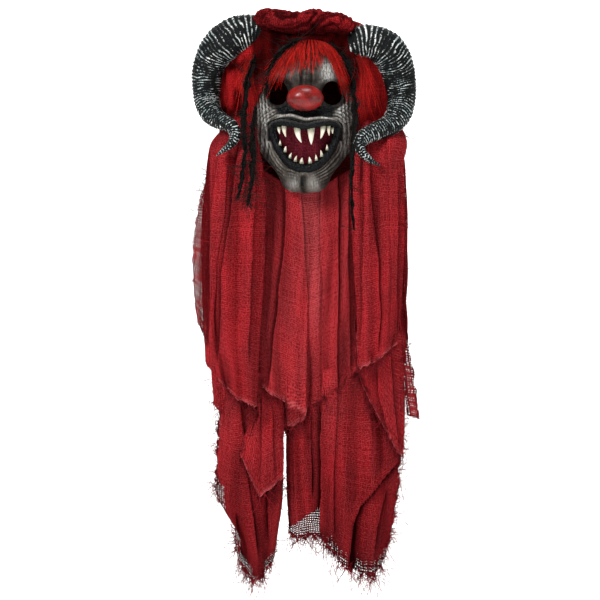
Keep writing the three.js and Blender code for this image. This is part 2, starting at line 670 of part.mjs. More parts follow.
// The shroud's torn hem, from the viewer's left round the back to the right, as a share of the
// shroud's own drop
const SHROUD_HEM = [
  { around: 0, reach: 0.97 },
  { around: 0.08, reach: 1.04 },
  { around: 0.17, reach: 0.98 },
  { around: 0.27, reach: 1.05 },
  { around: 0.38, reach: 0.99 },
  { around: 0.5, reach: 1.06 },
  { around: 0.62, reach: 0.98 },
  { around: 0.73, reach: 1.03 },
  { around: 0.84, reach: 0.97 },
  { around: 0.93, reach: 1.03 },
  { around: 1, reach: 1 },
];
const SHROUD_DROP = 655; // crown to the shroud's own hem, above the torn tails
const SHROUD_PLEATS = 9;
const SHROUD_TOP = -HOOD_DROP * 0.86;
const SHROUD_COLUMNS = 32;
const SHROUD_LEVELS = 5;

function shroudPoint(u, v) {
  const hem = -SHROUD_DROP * column(SHROUD_HEM, "around", u, "reach");
  const section = (name) => column(SHROUD_SECTIONS, "down", v, name);
  const open = THREE.MathUtils.degToRad(section("opening"));
  const turn = mix(open, 2 * Math.PI - open, u);
  const phase = u * SHROUD_PLEATS * 2 * Math.PI + 0.6 * Math.sin(7 * u + 2.4 * v);
  const pleat = SHROUD_PLEAT * section("pleat") * Math.sin(phase);
  const wide = section("wide") * SHROUD_HALF_WIDTH + pleat;
  const reach = (Math.cos(turn) > 0 ? section("front") * SHROUD_FRONT : section("back") * SHROUD_BACK) + pleat;
  return new THREE.Vector3(wide * Math.sin(turn), -reach * Math.cos(turn), mix(SHROUD_TOP, hem, v));
}

function cutBy(solid, cutters) {
  return largest(cutters.reduce((rest, cutter) => rest.subtract(cutter), solid));
}

const CLOTH_SPILL = 0.03;

// Hanging panels of gauze. Rows run from the top edge to the hem: edges as shares of the shroud's
// half width, ahead as a share of the front drapes' reach. Top and hem are levels across the panel,
// as shares of the shroud's length. Folds and their depth are as shares of the pleat.
const PANELS = {
  drape_centre: {
    across: 12,
    down: 6,
    folds: 4,
    fold: 0.45,
    drift: 0.5,
    bow: 0.25,
    top: [
      { u: 0, at: 0.262 },
      { u: 0.5, at: 0.3 },
      { u: 1, at: 0.262 },
    ],
    hem: [
      { u: 0, at: 0.648 },
      { u: 0.2, at: 0.672 },
      { u: 0.43, at: 0.69 },
      { u: 0.75, at: 0.655 },
      { u: 1, at: 0.618 },
    ],
    rows: [
      { v: 0, left: -0.43, right: 0.45, ahead: 0.8 },
      { v: 0.25, left: -0.38, right: 0.5, ahead: 1.05 },
      { v: 0.5, left: -0.41, right: 0.5, ahead: 1.1 },
      { v: 0.75, left: -0.4, right: 0.49, ahead: 1.1 },
      { v: 1, left: -0.367, right: 0.5, ahead: 1.05 },
    ],
  },
  drape_left: {
    across: 9,
    down: 7,
    folds: 2.5,
    fold: 0.5,
    drift: -0.4,
    bow: 0.35,
    top: [
      { u: 0, at: 0.185 },
      { u: 1, at: 0.16 },
    ],
    hem: [
      { u: 0, at: 0.634 },
      { u: 0.5, at: 0.668 },
      { u: 1, at: 0.685 },
    ],
    rows: [
      { v: 0, left: -0.8, right: -0.5, ahead: 0.1 },
      { v: 0.1, left: -0.92, right: -0.45, ahead: 1.25 },
      { v: 0.25, left: -0.965, right: -0.38, ahead: 1.75 },
      { v: 0.5, left: -1, right: -0.386, ahead: 1.95 },
      { v: 0.75, left: -0.965, right: -0.43, ahead: 1.9 },
      { v: 1, left: -0.83, right: -0.464, ahead: 1.75 },
    ],
  },
  drape_right: {
    across: 8,
    down: 6,
    folds: 2.3,
    fold: 0.5,
    drift: 0.3,
    bow: 0.35,
    top: [
      { u: 0, at: 0.165 },
      { u: 1, at: 0.185 },
    ],
    hem: [
      { u: 0, at: 0.618 },
      { u: 0.5, at: 0.6 },
      { u: 1, at: 0.572 },
    ],
    rows: [
      { v: 0, left: 0.5, right: 0.8, ahead: 0.1 },
      { v: 0.1, left: 0.46, right: 0.92, ahead: 1.25 },
      { v: 0.25, left: 0.43, right: 0.95, ahead: 1.75 },
      { v: 0.5, left: 0.45, right: 0.955, ahead: 1.9 },
      { v: 0.75, left: 0.49, right: 0.935, ahead: 1.8 },
      { v: 1, left: 0.502, right: 0.889, ahead: 1.6 },
    ],
  },
  tier_left: {
    across: 5,
    down: 3,
    folds: 0.8,
    fold: 0.3,
    drift: 0.3,
    bow: 0.15,
    top: [
      { u: 0, at: 0.62 },
      { u: 1, at: 0.62 },
    ],
    hem: [
      { u: 0, at: 0.765 },
      { u: 0.45, at: 0.842 },
      { u: 1, at: 0.806 },
    ],
    rows: [
      { v: 0, left: -0.5, right: -0.21, ahead: 0.95 },
      { v: 0.3, left: -0.52, right: -0.203, ahead: 0.85 },
      { v: 1, left: -0.637, right: -0.203, ahead: 0.75 },
    ],
  },
  tier_right: {
    across: 6,
    down: 3,
    folds: 1.1,
    fold: 0.3,
    drift: 0.2,
    bow: 0.2,
    top: [
      { u: 0, at: 0.55 },
      { u: 1, at: 0.55 },
    ],
    hem: [
      { u: 0, at: 0.618 },
      { u: 0.2, at: 0.66 },
      { u: 0.4, at: 0.692 },
      { u: 0.6, at: 0.723 },
      { u: 0.8, at: 0.757 },
      { u: 1, at: 0.776 },
    ],
    rows: [
      { v: 0, left: 0.49, right: 0.93, ahead: 0.95 },
      { v: 0.5, left: 0.5, right: 0.97, ahead: 0.85 },
      { v: 1, left: 0.5, right: 0.955, ahead: 0.75 },
    ],
  },
  tail_left: {
    across: 9,
    down: 6,
    folds: 2.6,
    fold: 0.5,
    drift: 0.4,
    bow: 0.4,
    top: [
      { u: 0, at: 0.61 },
      { u: 1, at: 0.63 },
    ],
    hem: [
      { u: 0, at: 0.93 },
      { u: 0.12, at: 0.96 },
      { u: 0.25, at: 0.977 },
      { u: 0.45, at: 1 },
      { u: 0.7, at: 0.99 },
      { u: 0.85, at: 0.973 },
      { u: 1, at: 0.956 },
    ],
    rows: [
      { v: 0, left: -0.85, right: -0.126, ahead: 0.25 },
      { v: 0.25, left: -0.86, right: -0.2, ahead: 0.3 },
      { v: 0.5, left: -0.885, right: -0.203, ahead: 0.35 },
      { v: 0.7, left: -0.875, right: -0.222, ahead: 0.3 },
      { v: 0.84, left: -0.71, right: -0.26, ahead: 0.25 },
      { v: 1, left: -0.686, right: -0.3, ahead: 0.2 },
    ],
  },
  tail_right: {
    across: 13,
    down: 5,
    folds: 4.2,
    fold: 0.5,
    drift: -0.6,
    bow: 0.45,
    top: [
      { u: 0, at: 0.62 },
      { u: 1, at: 0.6 },
    ],
    hem: [
      { u: 0, at: 0.915 },
      { u: 0.08, at: 0.922 },
      { u: 0.3, at: 0.917 },
      { u: 0.4, at: 0.933 },
      { u: 0.48, at: 0.962 },
      { u: 0.6, at: 0.977 },
      { u: 0.7, at: 0.987 },
      { u: 0.8, at: 0.991 },
      { u: 0.9, at: 0.971 },
      { u: 0.95, at: 0.949 },
      { u: 1, at: 0.924 },
    ],
    rows: [
      { v: 0, left: -0.09, right: 0.9, ahead: 0.05 },
      { v: 0.25, left: -0.174, right: 0.97, ahead: 0.15 },
      { v: 0.5, left: -0.188, right: 0.96, ahead: 0.2 },
      { v: 0.75, left: -0.179, right: 0.908, ahead: 0.2 },
      { v: 1, left: -0.155, right: 0.83, ahead: 0.15 },
    ],
  },
  strip_left: {
    across: 3,
    down: 7,
    folds: 1,
    fold: 0.25,
    drift: 0.6,
    bow: 0.1,
    top: [
      { u: 0, at: 0.24 },
      { u: 1, at: 0.23 },
    ],
    hem: [
      { u: 0, at: 0.53 },
      { u: 1, at: 0.57 },
    ],
    rows: [
      { v: 0, left: -0.86, right: -0.66, ahead: 0 },
      { v: 0.12, left: -0.96, right: -0.78, ahead: 0.45 },
      { v: 0.3, left: -1.014, right: -0.86, ahead: 0.5 },
      { v: 0.6, left: -1.053, right: -0.89, ahead: 0.55 },
      { v: 0.8, left: -1.043, right: -0.91, ahead: 0.5 },
      { v: 1, left: -1.024, right: -0.95, ahead: 0.45 },
    ],
  },
  strip_right: {
    across: 3,
    down: 7,
    folds: 1,
    fold: 0.25,
    drift: -0.6,
    bow: 0.1,
    top: [
      { u: 0, at: 0.23 },
      { u: 1, at: 0.24 },
    ],
    hem: [
      { u: 0, at: 0.7 },
      { u: 1, at: 0.706 },
    ],
    rows: [
      { v: 0, left: 0.66, right: 0.86, ahead: 0 },
      { v: 0.12, left: 0.78, right: 0.94, ahead: 0.45 },
      { v: 0.3, left: 0.85, right: 0.966, ahead: 0.5 },
      { v: 0.6, left: 0.88, right: 0.985, ahead: 0.55 },
      { v: 0.8, left: 0.915, right: 1.06, ahead: 0.5 },
      { v: 1, left: 0.985, right: 1.13, ahead: 0.45 },
    ],
  },
};

function panelPlace(panel) {
  return (u, v) => {
    const top = column(panel.top, "u", u, "at");
    const hem = column(panel.hem, "u", u, "at");
    const row = (name) => column(panel.rows, "v", v, name);
    const bow = panel.bow * (1 - (2 * u - 1) ** 2);
    const fold = panel.fold * SHROUD_PLEAT * smooth(v * 3 + 0.3);
    const wave = Math.sin(2 * Math.PI * (panel.folds * u + panel.drift * v));
    return new THREE.Vector3(
      mix(row("left"), row("right"), u) * SHROUD_HALF_WIDTH,
      -(row("ahead") + bow) * DRAPE_FRONT + fold * wave,
      -mix(top, hem, v) * SHROUD_LENGTH,
    );
  };
}

function panelSolid(name, grow) {
  const panel = PANELS[name];
  const spill = grow > 0 ? CLOTH_SPILL : 0;
  return sheetSolid(panelPlace(panel), panel.across, panel.down, CLOTH + 2 * grow, spill);
}

// Ragged locks. Each station: across and up as shares of the face's half width and length, out as
// its stand off the face or, below the chin, ahead as a share of the drapes' reach.
function lockSolid(rows, radius, grow, sides = 5) {
  const placed = rows.map((row) => {
    const x = row.across * FACE_HALF_WIDTH;
    const z = row.up * FACE_LENGTH;
    const y = row.ahead === undefined ? faceY(x, z) - radius * row.girth * LOCK_STAND : -row.ahead * DRAPE_FRONT;
    return { point: new THREE.Vector3(x, y, z), radius: row.girth * radius + grow };
  });
  const last = placed.at(-1);
  last.radius = Math.max(0.3, grow + 0.3);
  const count = sides > 4 ? rows.length + 1 : rows.length - 1;
  return tubeSolid(stationsAlong(placed, count).map((s) => ({ ...s, flat: 0.55 })), sides);
}

const LOCK_STAND = 1.1; // how far a lock's middle stands off the face, per its radius
const BLACK_LOCKS = {
  black_lock_left_inner: [
    { across: -0.12, up: -0.115, girth: 0.9 },
    { across: -0.3, up: -0.155, girth: 1 },
    { across: -0.54, up: -0.225, girth: 0.9 },
    { across: -0.68, up: -0.3, girth: 0.7 },
    { across: -0.76, up: -0.43, girth: 0.4 },
  ],
  black_lock_left_outer: [
    { across: -0.9, up: -0.17, girth: 0.8, ahead: 1.2 },
    { across: -1.03, up: -0.27, girth: 1, ahead: 1.35 },
    { across: -1.13, up: -0.42, girth: 0.9, ahead: 1.6 },
    { across: -1.18, up: -0.6, girth: 1, ahead: 2 },
    { across: -1.15, up: -0.76, girth: 0.9, ahead: 2.35 },
    { across: -1.2, up: -0.9, girth: 0.7, ahead: 2.45 },
    { across: -1.28, up: -1.02, girth: 0.4, ahead: 2.5 },
  ],
  black_lock_left_front: [
    { across: -0.95, up: -0.5, girth: 0.6, ahead: 1.75 },
    { across: -1.0, up: -0.64, girth: 1, ahead: 2.1 },
    { across: -1.0, up: -0.8, girth: 0.9, ahead: 2.4 },
    { across: -1.03, up: -0.94, girth: 0.8, ahead: 2.55 },
    { across: -1.09, up: -1.06, girth: 0.4, ahead: 2.6 },
  ],
  black_lock_right: [
    { across: 0.48, up: -0.14, girth: 0.9 },
    { across: 0.75, up: -0.23, girth: 1 },
    { across: 0.9, up: -0.34, girth: 0.9 },
    { across: 0.95, up: -0.47, girth: 0.8, ahead: 1.7 },
    { across: 0.95, up: -0.62, girth: 0.9, ahead: 2.05 },
    { across: 0.9, up: -0.8, girth: 0.8, ahead: 2.4 },
    { across: 0.89, up: -1.0, girth: 0.6, ahead: 2.5 },
    { across: 0.93, up: -1.2, girth: 0.3, ahead: 2.6 },
  ],
};

const FRINGE_BAND = [
  { across: -0.3, up: -0.115, girth: 1.1 },
  { across: 0, up: -0.1, girth: 1.3 },
  { across: 0.25, up: -0.1, girth: 1.3 },
  { across: 0.5, up: -0.125, girth: 1.1 },
];
// Where each lock of the fringe starts and ends
const FRINGE = [
  { from: -0.26, to: -0.74, drop: 0.45 },
  { from: -0.14, to: -0.42, drop: 0.37 },
  { from: 0.02, to: -0.06, drop: 0.3 },
  { from: 0.18, to: 0.3, drop: 0.33 },
  { from: 0.32, to: 0.6, drop: 0.39 },
  { from: 0.46, to: 0.85, drop: 0.47 },
];

function hairFringe(grow) {
  const band = lockSolid(FRINGE_BAND, HAIR_RADIUS, grow);
  return FRINGE.reduce((all, lock) => {
    const rows = [0, 0.5, 1].map((t) => ({
      across: mix(lock.from, lock.to, t ** 0.8),
      up: -mix(0.1, lock.drop, t),
      girth: 1.5 - 0.9 * t,
    }));
    return all.add(lockSolid(rows, HAIR_RADIUS, grow, 4));
  }, band);
}

const SIDE_HAIR = [
  [
    { across: 1.0, up: -0.2, girth: 1.2, ahead: 0.9 },
    { across: 1.15, up: -0.33, girth: 1.4, ahead: 1.3 },
    { across: 1.12, up: -0.47, girth: 1.1, ahead: 1.45 },
    { across: 1.2, up: -0.6, girth: 0.5, ahead: 1.55 },
  ],
  [
    { across: 1.02, up: -0.21, girth: 1.2, ahead: 1.2 },
    { across: 1.25, up: -0.36, girth: 1.2, ahead: 1.3 },
    { across: 1.38, up: -0.5, girth: 0.5, ahead: 1.35 },
  ],
];

function sideHair(side, grow) {
  return SIDE_HAIR.map((rows) => rows.map((row) => ({ ...row, across: row.across * side })))
    .map((rows) => lockSolid(rows, HAIR_RADIUS, grow, 4))
    .reduce((a, b) => a.add(b));
}

const colour = (rgb) => new THREE.Color().setRGB(...rgb);
const model = new THREE.Group();

function addPiece(name, solid, rgb, roughness, metalness = 0) {
  const material = new THREE.MeshStandardMaterial({ color: colour(rgb), roughness, metalness });
  const mesh = new THREE.Mesh(geometryOf(solid), material);
  mesh.name = name;
  model.add(mesh);
}

const seat = headSolid(GAP).subtract(headSolid(-5 * LATEX));
const outer = headSolid(0);
const inner = headSolid(-LATEX);
const face = faceShell(outer, inner);
addPiece("face_shell", face, latexFace, 0.6);
addPiece("mouth_lining", mouthLining(), gauzeRed, 0.9);
addPiece("nose_ball", noseBall(seat), [0.45, 0.03, 0.02], 0.3);

const gum = headSolid(GAP).subtract(prismY(mouthPoints(LIP_STATIONS, -GAP), -FACE_REACH * 1.6, 0));
const toothCutter = lipRing(GAP).add(gum);
UPPER_TEETH.forEach((row, i) => {
  addPiece(`upper_tooth_${i + 1}`, tooth(row, true, toothCutter), [0.8, 0.76, 0.62], 0.35);
});
LOWER_TEETH.forEach((row, i) => {
  addPiece(`lower_tooth_${i + 1}`, tooth(row, false, toothCutter), [0.8, 0.76, 0.62], 0.35);
});

addPiece("horn_left", largest(hornSolid(LEFT_HORN, 0, true).subtract(seat)), [0.06, 0.065, 0.07], 0.5);
addPiece("horn_right", largest(hornSolid(RIGHT_HORN, 0, true).subtract(seat)), [0.06, 0.065, 0.07], 0.5);

const hornRoom = [hornSolid(LEFT_HORN, SLACK, false), hornSolid(RIGHT_HORN, SLACK, false)];
const headRoom = headSolid(GAP);
const hoodRoom = hoodSolid(GAP).subtract(hoodSolid(-CLOTH - GAP));
addPiece("hood", hood([...hornRoom, headRoom]), gauzeRed, 0.95);
addPiece("brow_roll", browRoll([...hornRoom, headRoom, hoodSolid(GAP)]), gauzeRed, 0.95);

const shroudRoom = sheetSolid(shroudPoint, SHROUD_COLUMNS, SHROUD_LEVELS, CLOTH + 2 * GAP, CLOTH_SPILL);
const shroudCloth = sheetSolid(shroudPoint, SHROUD_COLUMNS, SHROUD_LEVELS, CLOTH);
addPiece("shroud", cutBy(shroudCloth, [...hornRoom, hoodRoom, headRoom]), gauzeRed, 0.95);

// Each panel is cut by the pieces that are already there, so it hangs against them
const rooms = [...hornRoom, hoodRoom, shroudRoom, headRoom];
for (const name of Object.keys(PANELS)) {
  addPiece(name, cutBy(panelSolid(name, 0), rooms), gauzeRed, 0.95);
  rooms.push(panelSolid(name, GAP));
}

rooms.push(browRoll([]));
addPiece("hair_fringe", cutBy(hairFringe(0), rooms), hairRed, 0.8);
addPiece("hair_side_left", cutBy(sideHair(-1, 0), rooms), hairRed, 0.8);
addPiece("hair_side_right", cutBy(sideHair(1, 0), rooms), hairRed, 0.8);
rooms.push(hairFringe(GAP), sideHair(-1, GAP), sideHair(1, GAP));
for (const [name, rows] of Object.entries(BLACK_LOCKS)) {
  addPiece(name, cutBy(lockSolid(rows, LOCK_RADIUS, 0, 5), rooms), lockBlack, 0.9);
  rooms.push(lockSolid(rows, LOCK_RADIUS, GAP, 5));
}

export default model;
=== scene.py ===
"""The looks of a horned devil mask with a gauze hood and a long torn shroud.

Sizes are in millimetres in the tables and functions here, and in metres in the meshes.
The face looks along -Y, +X is the viewer's right and the origin is at the crown of the head.
"""

import math

import bpy
import numpy as np
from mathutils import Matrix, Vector


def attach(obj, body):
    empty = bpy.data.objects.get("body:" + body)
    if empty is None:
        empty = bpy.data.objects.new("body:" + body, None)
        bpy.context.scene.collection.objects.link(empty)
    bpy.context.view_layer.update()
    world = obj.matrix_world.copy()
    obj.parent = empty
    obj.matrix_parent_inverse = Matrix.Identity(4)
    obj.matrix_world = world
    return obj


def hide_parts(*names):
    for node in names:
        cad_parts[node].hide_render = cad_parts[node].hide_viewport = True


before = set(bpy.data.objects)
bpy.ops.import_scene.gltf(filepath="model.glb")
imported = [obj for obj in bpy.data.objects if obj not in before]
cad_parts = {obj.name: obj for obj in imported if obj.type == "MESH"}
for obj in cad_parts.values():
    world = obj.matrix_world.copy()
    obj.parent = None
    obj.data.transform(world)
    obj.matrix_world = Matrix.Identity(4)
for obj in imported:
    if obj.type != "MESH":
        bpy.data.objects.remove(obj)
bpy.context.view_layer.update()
chance = np.random.default_rng(11)

# Driving sizes, the same as the solid part's
FACE_LENGTH = 299
FACE_HALF_WIDTH = 88
FACE_REACH = 100
HEAD_REACH = 98
HEAD_ROUND = 0.88
LATEX = 3
RELIEF = 10
EYE_APART = 46
EYE_HEIGHT = -0.425 * FACE_LENGTH
EYE_HALF_WIDTH = 17.5
EYE_HALF_TALL = 20
MOUTH_HALF_WIDTH = 50
MOUTH_TOP = -0.6254 * FACE_LENGTH
MOUTH_DROP = 0.204 * FACE_LENGTH
LIP_THICK = 7.5
LIP_SET = 0.8
NOSE_HALF_WIDTH = 31
NOSE_HALF_TALL = 22
NOSE_HALF_DEEP = 25
NOSE_HEIGHT = -0.458 * FACE_LENGTH
TOOTH_THICK = 6.5
HORN_SPAN = 190
HORN_DROP = 250
HORN_FORWARD = 110
HORN_GIRTH = 31
HOOD_HALF_WIDTH = 136
HOOD_FRONT = 74
HOOD_BACK = 126
HOOD_DROP = 205
HOOD_LIFT = 10
ROLL_RADIUS = 19
SHROUD_LENGTH = 966
SHROUD_HALF_WIDTH = 176
SHROUD_BACK = 112
SHROUD_FRONT = 40
SHROUD_PLEAT = 15
SHROUD_PLEATS = 9
SHROUD_DROP = 655
SHROUD_TOP = -0.86 * HOOD_DROP
DRAPE_FRONT = 44
LOCK_RADIUS = 7
HAIR_RADIUS = 4.5


# Numbers

def bell(t):
    return np.exp(-np.square(t))


def smooth(t):
    t = np.clip(t, 0, 1)
    return t * t * (3 - 2 * t)


def mix(a, b, t):
    return a + (b - a) * t


def power(t, exponent):
    return np.sign(t) * np.abs(t) ** exponent


def table(names, *rows):
    """Named columns from rows of numbers. The first column is the key."""
    values = np.array(rows, float)
    return {name: values[:, i] for i, name in enumerate(names.split())}


def column(rows, at, name):
    """One column of a table at a key, on a smooth curve through its rows."""
    keys = next(iter(rows.values()))
    at = np.asarray(at, float)
    sign = 1 if keys[-1] > keys[0] else -1
    keys, at, values = keys * sign, at * sign, rows[name]
    last = len(keys) - 1
    i = np.clip(np.searchsorted(keys, at) - 1, 0, last - 1)
    a, d = np.maximum(i - 1, 0), np.minimum(i + 2, last)
    span = keys[i + 1] - keys[i]
    t = np.clip((at - keys[i]) / span, 0, 1)
    start = (values[i + 1] - values[a]) / (keys[i + 1] - keys[a]) * span
    end = (values[d] - values[i]) / (keys[d] - keys[i]) * span
    return (
        (2 * t**3 - 3 * t**2 + 1) * values[i]
        + (t**3 - 2 * t**2 + t) * start
        + (3 * t**2 - 2 * t**3) * values[i + 1]
        + (t**3 - t**2) * end
    )


def lattice(i, j, seed):
    """A steady random number from -1 to 1 for each corner of a grid."""
    h = (i * 374761393 + j * 668265263 + seed * 974634777) & 0xFFFFFFFF
    h = ((h ^ (h >> 13)) * 1274126177) & 0xFFFFFFFF
    return ((h ^ (h >> 16)) & 0xFFFF) / 32767.5 - 1


def noise(x, y, seed=0):
    x, y = np.broadcast_arrays(np.asarray(x, float), np.asarray(y, float))
    i, j = np.floor(x).astype(np.int64), np.floor(y).astype(np.int64)
    sx, sy = smooth(x - i), smooth(y - j)
    low = mix(lattice(i, j, seed), lattice(i + 1, j, seed), sx)
    high = mix(lattice(i, j + 1, seed), lattice(i + 1, j + 1, seed), sx)
    return mix(low, high, sy)


def rough_noise(x, y, seed=0, octaves=3):
    total = sum(noise(x * 2**k, y * 2**k, seed + 7 * k) / 2**k for k in range(octaves))
    return total / 1.5


def stack(x, y, z):
    return np.stack(np.broadcast_arrays(x, y, z), -1).astype(float)


def run_length(line):
    return float(np.linalg.norm(np.diff(line, axis=0), axis=1).sum())


def unit(v):
    return v / np.maximum(np.linalg.norm(v, axis=-1, keepdims=True), 1e-9)


def smooth_line(points, t, closed=False):
    """Points on a centripetal curve through others, at shares t of its rows."""
    points = np.asarray(points, float)
    count = len(points)
    place = np.asarray(t, float) * (count if closed else count - 1)
    i = np.floor(place).astype(int)
    if closed:
        w = place - i
        p0, p1, p2, p3 = (points[(i + k) % count] for k in (-1, 0, 1, 2))
    else:
        i = np.minimum(i, count - 2)
        w = place - i
        ends = np.vstack([2 * points[0] - points[1], points, 2 * points[-1] - points[-2]])
        p0, p1, p2, p3 = (ends[i + k] for k in (0, 1, 2, 3))
    d0, d1, d2 = (
        np.maximum(np.sqrt(np.linalg.norm(b - a, axis=-1, keepdims=True)), 1e-4)
        for a, b in ((p0, p1), (p1, p2), (p2, p3))
    )
    t1 = ((p1 - p0) / d0 - (p2 - p0) / (d0 + d1) + (p2 - p1) / d1) * d1
    t2 = ((p2 - p1) / d1 - (p3 - p1) / (d1 + d2) + (p3 - p2) / d2) * d1
    w = w[..., None]
    return p1 + t1 * w + (3 * (p2 - p1) - 2 * t1 - t2) * w**2 + (2 * (p1 - p2) + t1 + t2) * w**3


# Meshes

def grid_faces(rows, columns, closed=False, flip=False):
    i = np.arange(rows - 1)[:, None]
    j = np.arange(columns if closed else columns - 1)[None, :]
    a, b = i * columns + j, i * columns + (j + 1) % columns
    faces = np.stack([a, b, b + columns, a + columns], -1).reshape(-1, 4)
    return faces[:, ::-1] if flip else faces


def build(name, points, faces, material, uv=None, marks=None, replaces=()):
    """A mesh piece that rides on the mask. Points are in millimetres, marks are numbers per vertex."""
    mesh = bpy.data.meshes.new(name)
    faces = faces if isinstance(faces, list) else faces.tolist()
    mesh.from_pydata((np.asarray(points).reshape(-1, 3) * 0.001).tolist(), [], faces)
    mesh.polygons.foreach_set("use_smooth", [True] * len(mesh.polygons))
    if uv is not None:
        corners = np.empty(len(mesh.loops), np.int32)
        mesh.loops.foreach_get("vertex_index", corners)
        layer = mesh.uv_layers.new(name="cloth")
        layer.data.foreach_set("uv", np.asarray(uv, float).reshape(-1, 2)[corners].ravel())
    for key, values in (marks or {}).items():
        layer = mesh.attributes.new(key, "FLOAT", "POINT")
        layer.data.foreach_set("value", np.broadcast_to(values, len(mesh.vertices)).astype(float))
    mesh.materials.append(material)
    piece = bpy.data.objects.new(name, mesh)
    bpy.context.scene.collection.objects.link(piece)
    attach(piece, "root")
    if replaces:
        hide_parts(*replaces)
    return piece


def tube(points, radii, sides=12, flat=1.0, swell=None):
    """A closed tube along points. swell holds a factor on the radius for each point and side."""
    points = np.asarray(points, float)
    if swell is None:
        swell = np.ones((len(points), sides))
    tangents = unit(np.gradient(points, axis=0))
    normal = np.array([0.0, -1.0, 0.0])
    angle = np.arange(sides) / sides * 2 * np.pi
    rings = []
    for point, tangent, reach in zip(points, tangents, np.asarray(radii)[:, None] * swell):
        normal = unit(normal - tangent * normal.dot(tangent))
        binormal = np.cross(tangent, normal)
        ahead = np.outer(np.cos(angle) * reach * flat, normal)
        aside = np.outer(np.sin(angle) * reach, binormal)
        rings.append(point + ahead + aside)
    vertices = np.concatenate([np.vstack(rings), points[:1], points[-1:]])
    body = grid_faces(len(points), sides, closed=True).tolist()
    first, last = len(points) * sides, len(points) * sides + 1
    top = (len(points) - 1) * sides
    for j in range(sides):
        k = (j + 1) % sides
        body.append([first, k, j])
        body.append([last, top + j, top + k])
    return vertices, body


BUNDLE_SIDES = 3


def bundle(curves, radii):
    """Many thin tubes in one mesh. Curves is (tube, point, xyz) and radii is (tube, point)."""
    sides = BUNDLE_SIDES
    curves = np.asarray(curves, float)
    count, length, _ = curves.shape
    tangent = unit(np.gradient(curves, axis=1))
    side = unit(np.cross(tangent, np.array([0.31, -0.87, 0.23])))
    over = np.cross(tangent, side)
    angle = np.arange(sides) / sides * 2 * np.pi
    ring = (
        curves[:, :, None, :]
        + side[:, :, None, :] * (np.cos(angle)[:, None] * radii[:, :, None, None])
        + over[:, :, None, :] * (np.sin(angle)[:, None] * radii[:, :, None, None])
    )
    one = grid_faces(length, sides, closed=True)
    start = (np.arange(count) * length * sides)[:, None, None]
    return ring.reshape(-1, 3), (one[None] + start).reshape(-1, 4)


# Materials

class Tree:
    """A short way to write a node tree."""

    def __init__(self, tree):
        self.tree = tree
        tree.nodes.clear()

    def add(self, kind, inputs=None, **settings):
        node = self.tree.nodes.new(kind)
        for key, value in settings.items():
            setattr(node, key, value)
        for key, value in (inputs or {}).items():
            self.plug(node.inputs[key], value)
        return node

    def plug(self, socket, value):
        if isinstance(value, bpy.types.NodeSocket):
            self.tree.links.new(value, socket)
        else:
            socket.default_value = value

    def math(self, operation, *values, clamp=False):
        node = self.add("ShaderNodeMath", operation=operation, use_clamp=clamp)
        for socket, value in zip(node.inputs, values):
            self.plug(socket, value)
        return node.outputs[0]

    def span(self, value, low, high, to_low=0.0, to_high=1.0):
        inputs = {"Value": value, "From Min": low, "From Max": high, "To Min": to_low, "To Max": to_high}
        return self.add("ShaderNodeMapRange", inputs, interpolation_type="SMOOTHSTEP").outputs[0]

    def blend(self, share, a, b):
        node = self.add("ShaderNodeMix", data_type="RGBA", clamp_factor=True)
        self.plug(node.inputs[0], share)
        self.plug(node.inputs[6], a)
        self.plug(node.inputs[7], b)
        return node.outputs[2]

    def mark(self, name):
        return self.add("ShaderNodeAttribute", attribute_name=name).outputs["Fac"]

    def grain(self, vector, scale, detail=2.0, roughness=0.5):
        inputs = {"Vector": vector, "Scale": scale, "Detail": detail, "Roughness": roughness}
        return self.add("ShaderNodeTexNoise", inputs).outputs["Fac"]


def rgb(red, green, blue):
    return (red, green, blue, 1.0)


def new_group(name, inputs, outputs):
    tree = bpy.data.node_groups.new(name, "ShaderNodeTree")
    for label, kind, start in inputs:
        socket = tree.interface.new_socket(label, in_out="INPUT", socket_type=f"NodeSocket{kind}")
        if start is not None:
            socket.default_value = start
    for label, kind in outputs:
        tree.interface.new_socket(label, in_out="OUTPUT", socket_type=f"NodeSocket{kind}")
    made = Tree(tree)
    return made, made.add("NodeGroupInput").outputs, made.add("NodeGroupOutput").inputs


